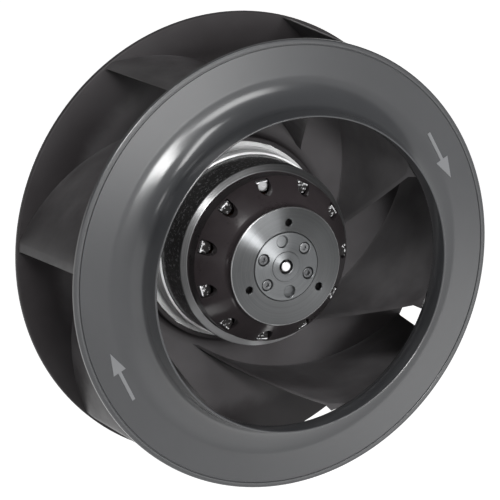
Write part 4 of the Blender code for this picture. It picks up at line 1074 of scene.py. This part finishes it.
def build_cover():
    """Pressed cover: rolled rim, dished middle and a shallow ring."""
    middle, low, bend = 1.1 * MM, 0.9 * MM, 0.6 * MM
    profile = [(0.0, middle), (5.6 * MM, middle), (6.0 * MM, low), (6.8 * MM, low)]
    profile.append((7.2 * MM, middle))
    profile += arc((13.6 * MM, middle - bend), bend, 90.0, 45.0, 3)
    profile += arc((15.5 * MM, low), bend, 210.0, 270.0, 4)
    profile += arc((COVER_RADIUS - bend, low), bend, 270.0, 360.0, 5)
    profile += [(COVER_RADIUS, COVER_TOP), (0.0, COVER_TOP)]
    cover = place("cover_skin", turned_mesh("cover_skin", profile, 96))
    dark, light = (0.3, 0.3, 0.31), (0.4, 0.4, 0.41)
    metal = turned_metal("cover_finish", dark, light, 0.3, 1800.0, 0.4, 0.15)
    settle(cover, metal, STATOR, "bearing_cover", slot="cover_steel")


# The rest of the solids


def repaint(node, material):
    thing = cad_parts[node]
    thing.data.materials.clear()
    thing.data.materials.append(material)


def paint_solids():
    """Materials for the inner pieces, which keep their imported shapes."""
    dark, light = (0.45, 0.45, 0.46), (0.6, 0.6, 0.61)
    ground = turned_metal("bearing_finish", dark, light, 0.25, 2500.0, 0.4, 0.1)
    brass = cast_metal("brass_finish", (0.42, 0.3, 0.13), (0.6, 0.46, 0.22), 0.35)
    sheet = cast_metal("stator_finish", (0.16, 0.16, 0.165), (0.26, 0.26, 0.265), 0.45)
    bar = cast_metal("cage_finish", (0.5, 0.5, 0.51), (0.66, 0.66, 0.67), 0.4)
    repaint("stator_stack", sheet)
    repaint("stator_winding", winding_metal())
    repaint("cage_ring_rear", bar)
    repaint("wave_washer", ground)
    repaint("retaining_ring", ground)
    for side in ("front", "rear"):
        repaint("bearing_outer_" + side, ground)
        repaint("bearing_inner_" + side, ground)
        repaint("ball_cage_" + side, brass)


# Stage

WHITE = (1.0, 1.0, 1.0, 1.0)

# Lamps: name, azimuth, elevation, distance, width, height, power and roll. Azimuth 0
# is straight ahead of the inlet; angles in degrees, lengths in metres.
LAMPS = (
    ("key", -7.0, 13.5, 1.9, 1.1, 0.25, 26.0, 138.0),
    ("high_left", -32.0, 49.0, 2.0, 1.2, 0.35, 15.0, 0.0),
    ("high_right", 13.5, 19.5, 1.9, 0.6, 0.42, 8.0, 0.0),
    ("side_left", -79.0, 31.0, 1.9, 0.4, 0.3, 1.5, 0.0),
    ("low_left", -68.0, -8.0, 1.6, 1.4, 1.2, 1.5, 0.0),
    ("low_right", 32.0, -19.0, 1.9, 0.4, 0.3, 0.8, 0.0),
    ("low_middle", 21.4, -7.6, 1.9, 0.26, 0.26, 1.2, 0.0),
)
LAMP_TARGET = Vector((0.0, -0.06, 0.0))

CAMERA_AZIMUTH = math.radians(-26.66)
CAMERA_ELEVATION = math.radians(15.41)
CAMERA_SHIFT = (-0.0194, 0.00895, 1.5398)
CAMERA_LENS = 209.3


def build_floor():
    """Pale floor well below the fan, as if the fan hung from its flange."""
    bm = bmesh.new()
    bmesh.ops.create_grid(bm, x_segments=1, y_segments=1, size=12.0)
    bmesh.ops.translate(bm, verts=bm.verts, vec=(0.0, 0.0, -1.2))
    mesh = bpy.data.meshes.new("floor")
    bm.to_mesh(mesh)
    bm.free()
    floor = place("floor", mesh)
    material = bpy.data.materials.new("floor_finish")
    material.use_nodes = True
    n = Tree(material.node_tree)
    n.tree.nodes.remove(n.tree.nodes["Principled BSDF"])
    paper = n.add("ShaderNodeBsdfDiffuse")
    paper.inputs["Color"].default_value = (0.82, 0.82, 0.82, 1.0)
    glow = n.add("ShaderNodeEmission")
    glow.inputs["Color"].default_value = WHITE
    n.link(n.math("MULTIPLY", background_factor(n), 0.85), glow.inputs["Strength"])
    both = n.add("ShaderNodeAddShader")
    n.link(paper.outputs[0], both.inputs[0])
    n.link(glow.outputs[0], both.inputs[1])
    n.link(both.outputs[0], n.tree.nodes["Material Output"].inputs["Surface"])
    mesh.materials.append(material)


def background_factor(n):
    """1 for rays that see the background: from the camera, off gloss and through glass."""
    rays = n.add("ShaderNodeLightPath").outputs
    seen = n.math("MAXIMUM", rays["Is Camera Ray"], rays["Is Glossy Ray"])
    return n.math("MAXIMUM", seen, rays["Is Transmission Ray"])


def build_world():
    """Studio room: white at the horizon, and a plain grey higher up."""
    world = bpy.data.worlds.new("studio")
    bpy.context.scene.world = world
    world.use_nodes = True
    n = Tree(world.node_tree)
    where = n.add("ShaderNodeTexCoord").outputs["Generated"]
    level = n.spread(n.split(where)["Z"], 0.085, 0.17, 1.0, 0.25, smooth=True)
    background = n.tree.nodes["Background"]
    n.link(level, background.inputs["Strength"])
    background.inputs["Color"].default_value = WHITE


def add_softbox(name, azimuth, elevation, distance, width, height, power, roll):
    """Area light aimed at the fan."""
    az, el = math.radians(azimuth), math.radians(elevation)
    way = Vector((math.sin(az) * math.cos(el), -math.cos(az) * math.cos(el), math.sin(el)))
    light = bpy.data.lights.new(name, "AREA")
    light.shape = "RECTANGLE"
    light.size = width
    light.size_y = height
    light.energy = power
    lamp = bpy.data.objects.new(name, light)
    lamp.location = LAMP_TARGET + way * distance
    turn = Quaternion((0.0, 0.0, 1.0), math.radians(roll))
    lamp.rotation_euler = (way.to_track_quat("Z", "Y") @ turn).to_euler()
    bpy.context.scene.collection.objects.link(lamp)


def build_camera():
    """Camera that sees the fan as the photograph does.

    Its shift is measured from the centre of the rim's plane: aside, up and back.
    """
    flat = math.cos(CAMERA_ELEVATION)
    right = Vector((math.cos(CAMERA_AZIMUTH), math.sin(CAMERA_AZIMUTH), 0.0))
    back = Vector((
        math.sin(CAMERA_AZIMUTH) * flat,
        -math.cos(CAMERA_AZIMUTH) * flat,
        math.sin(CAMERA_ELEVATION),
    ))
    up = back.cross(right)
    rim_centre = Vector((0.0, -RIM_PLANE, 0.0))
    lens = bpy.data.cameras.new("camera")
    lens.lens = CAMERA_LENS
    lens.sensor_width = 36.0
    camera = bpy.data.objects.new("camera", lens)
    aside, above, away = CAMERA_SHIFT
    spot = rim_centre + aside * right + above * up + away * back
    camera.matrix_world = Matrix.Translation(spot) @ Matrix((right, up, back)).transposed().to_4x4()
    bpy.context.scene.collection.objects.link(camera)
    bpy.context.scene.camera = camera


build_impeller()
build_rotor()
build_cap()
build_hub()
build_flange()
build_gland()
build_cover()
paint_solids()
build_floor()
build_world()
for lamp in LAMPS:
    add_softbox(*lamp)
build_camera()
bpy.context.scene.view_settings.view_transform = "Standard"
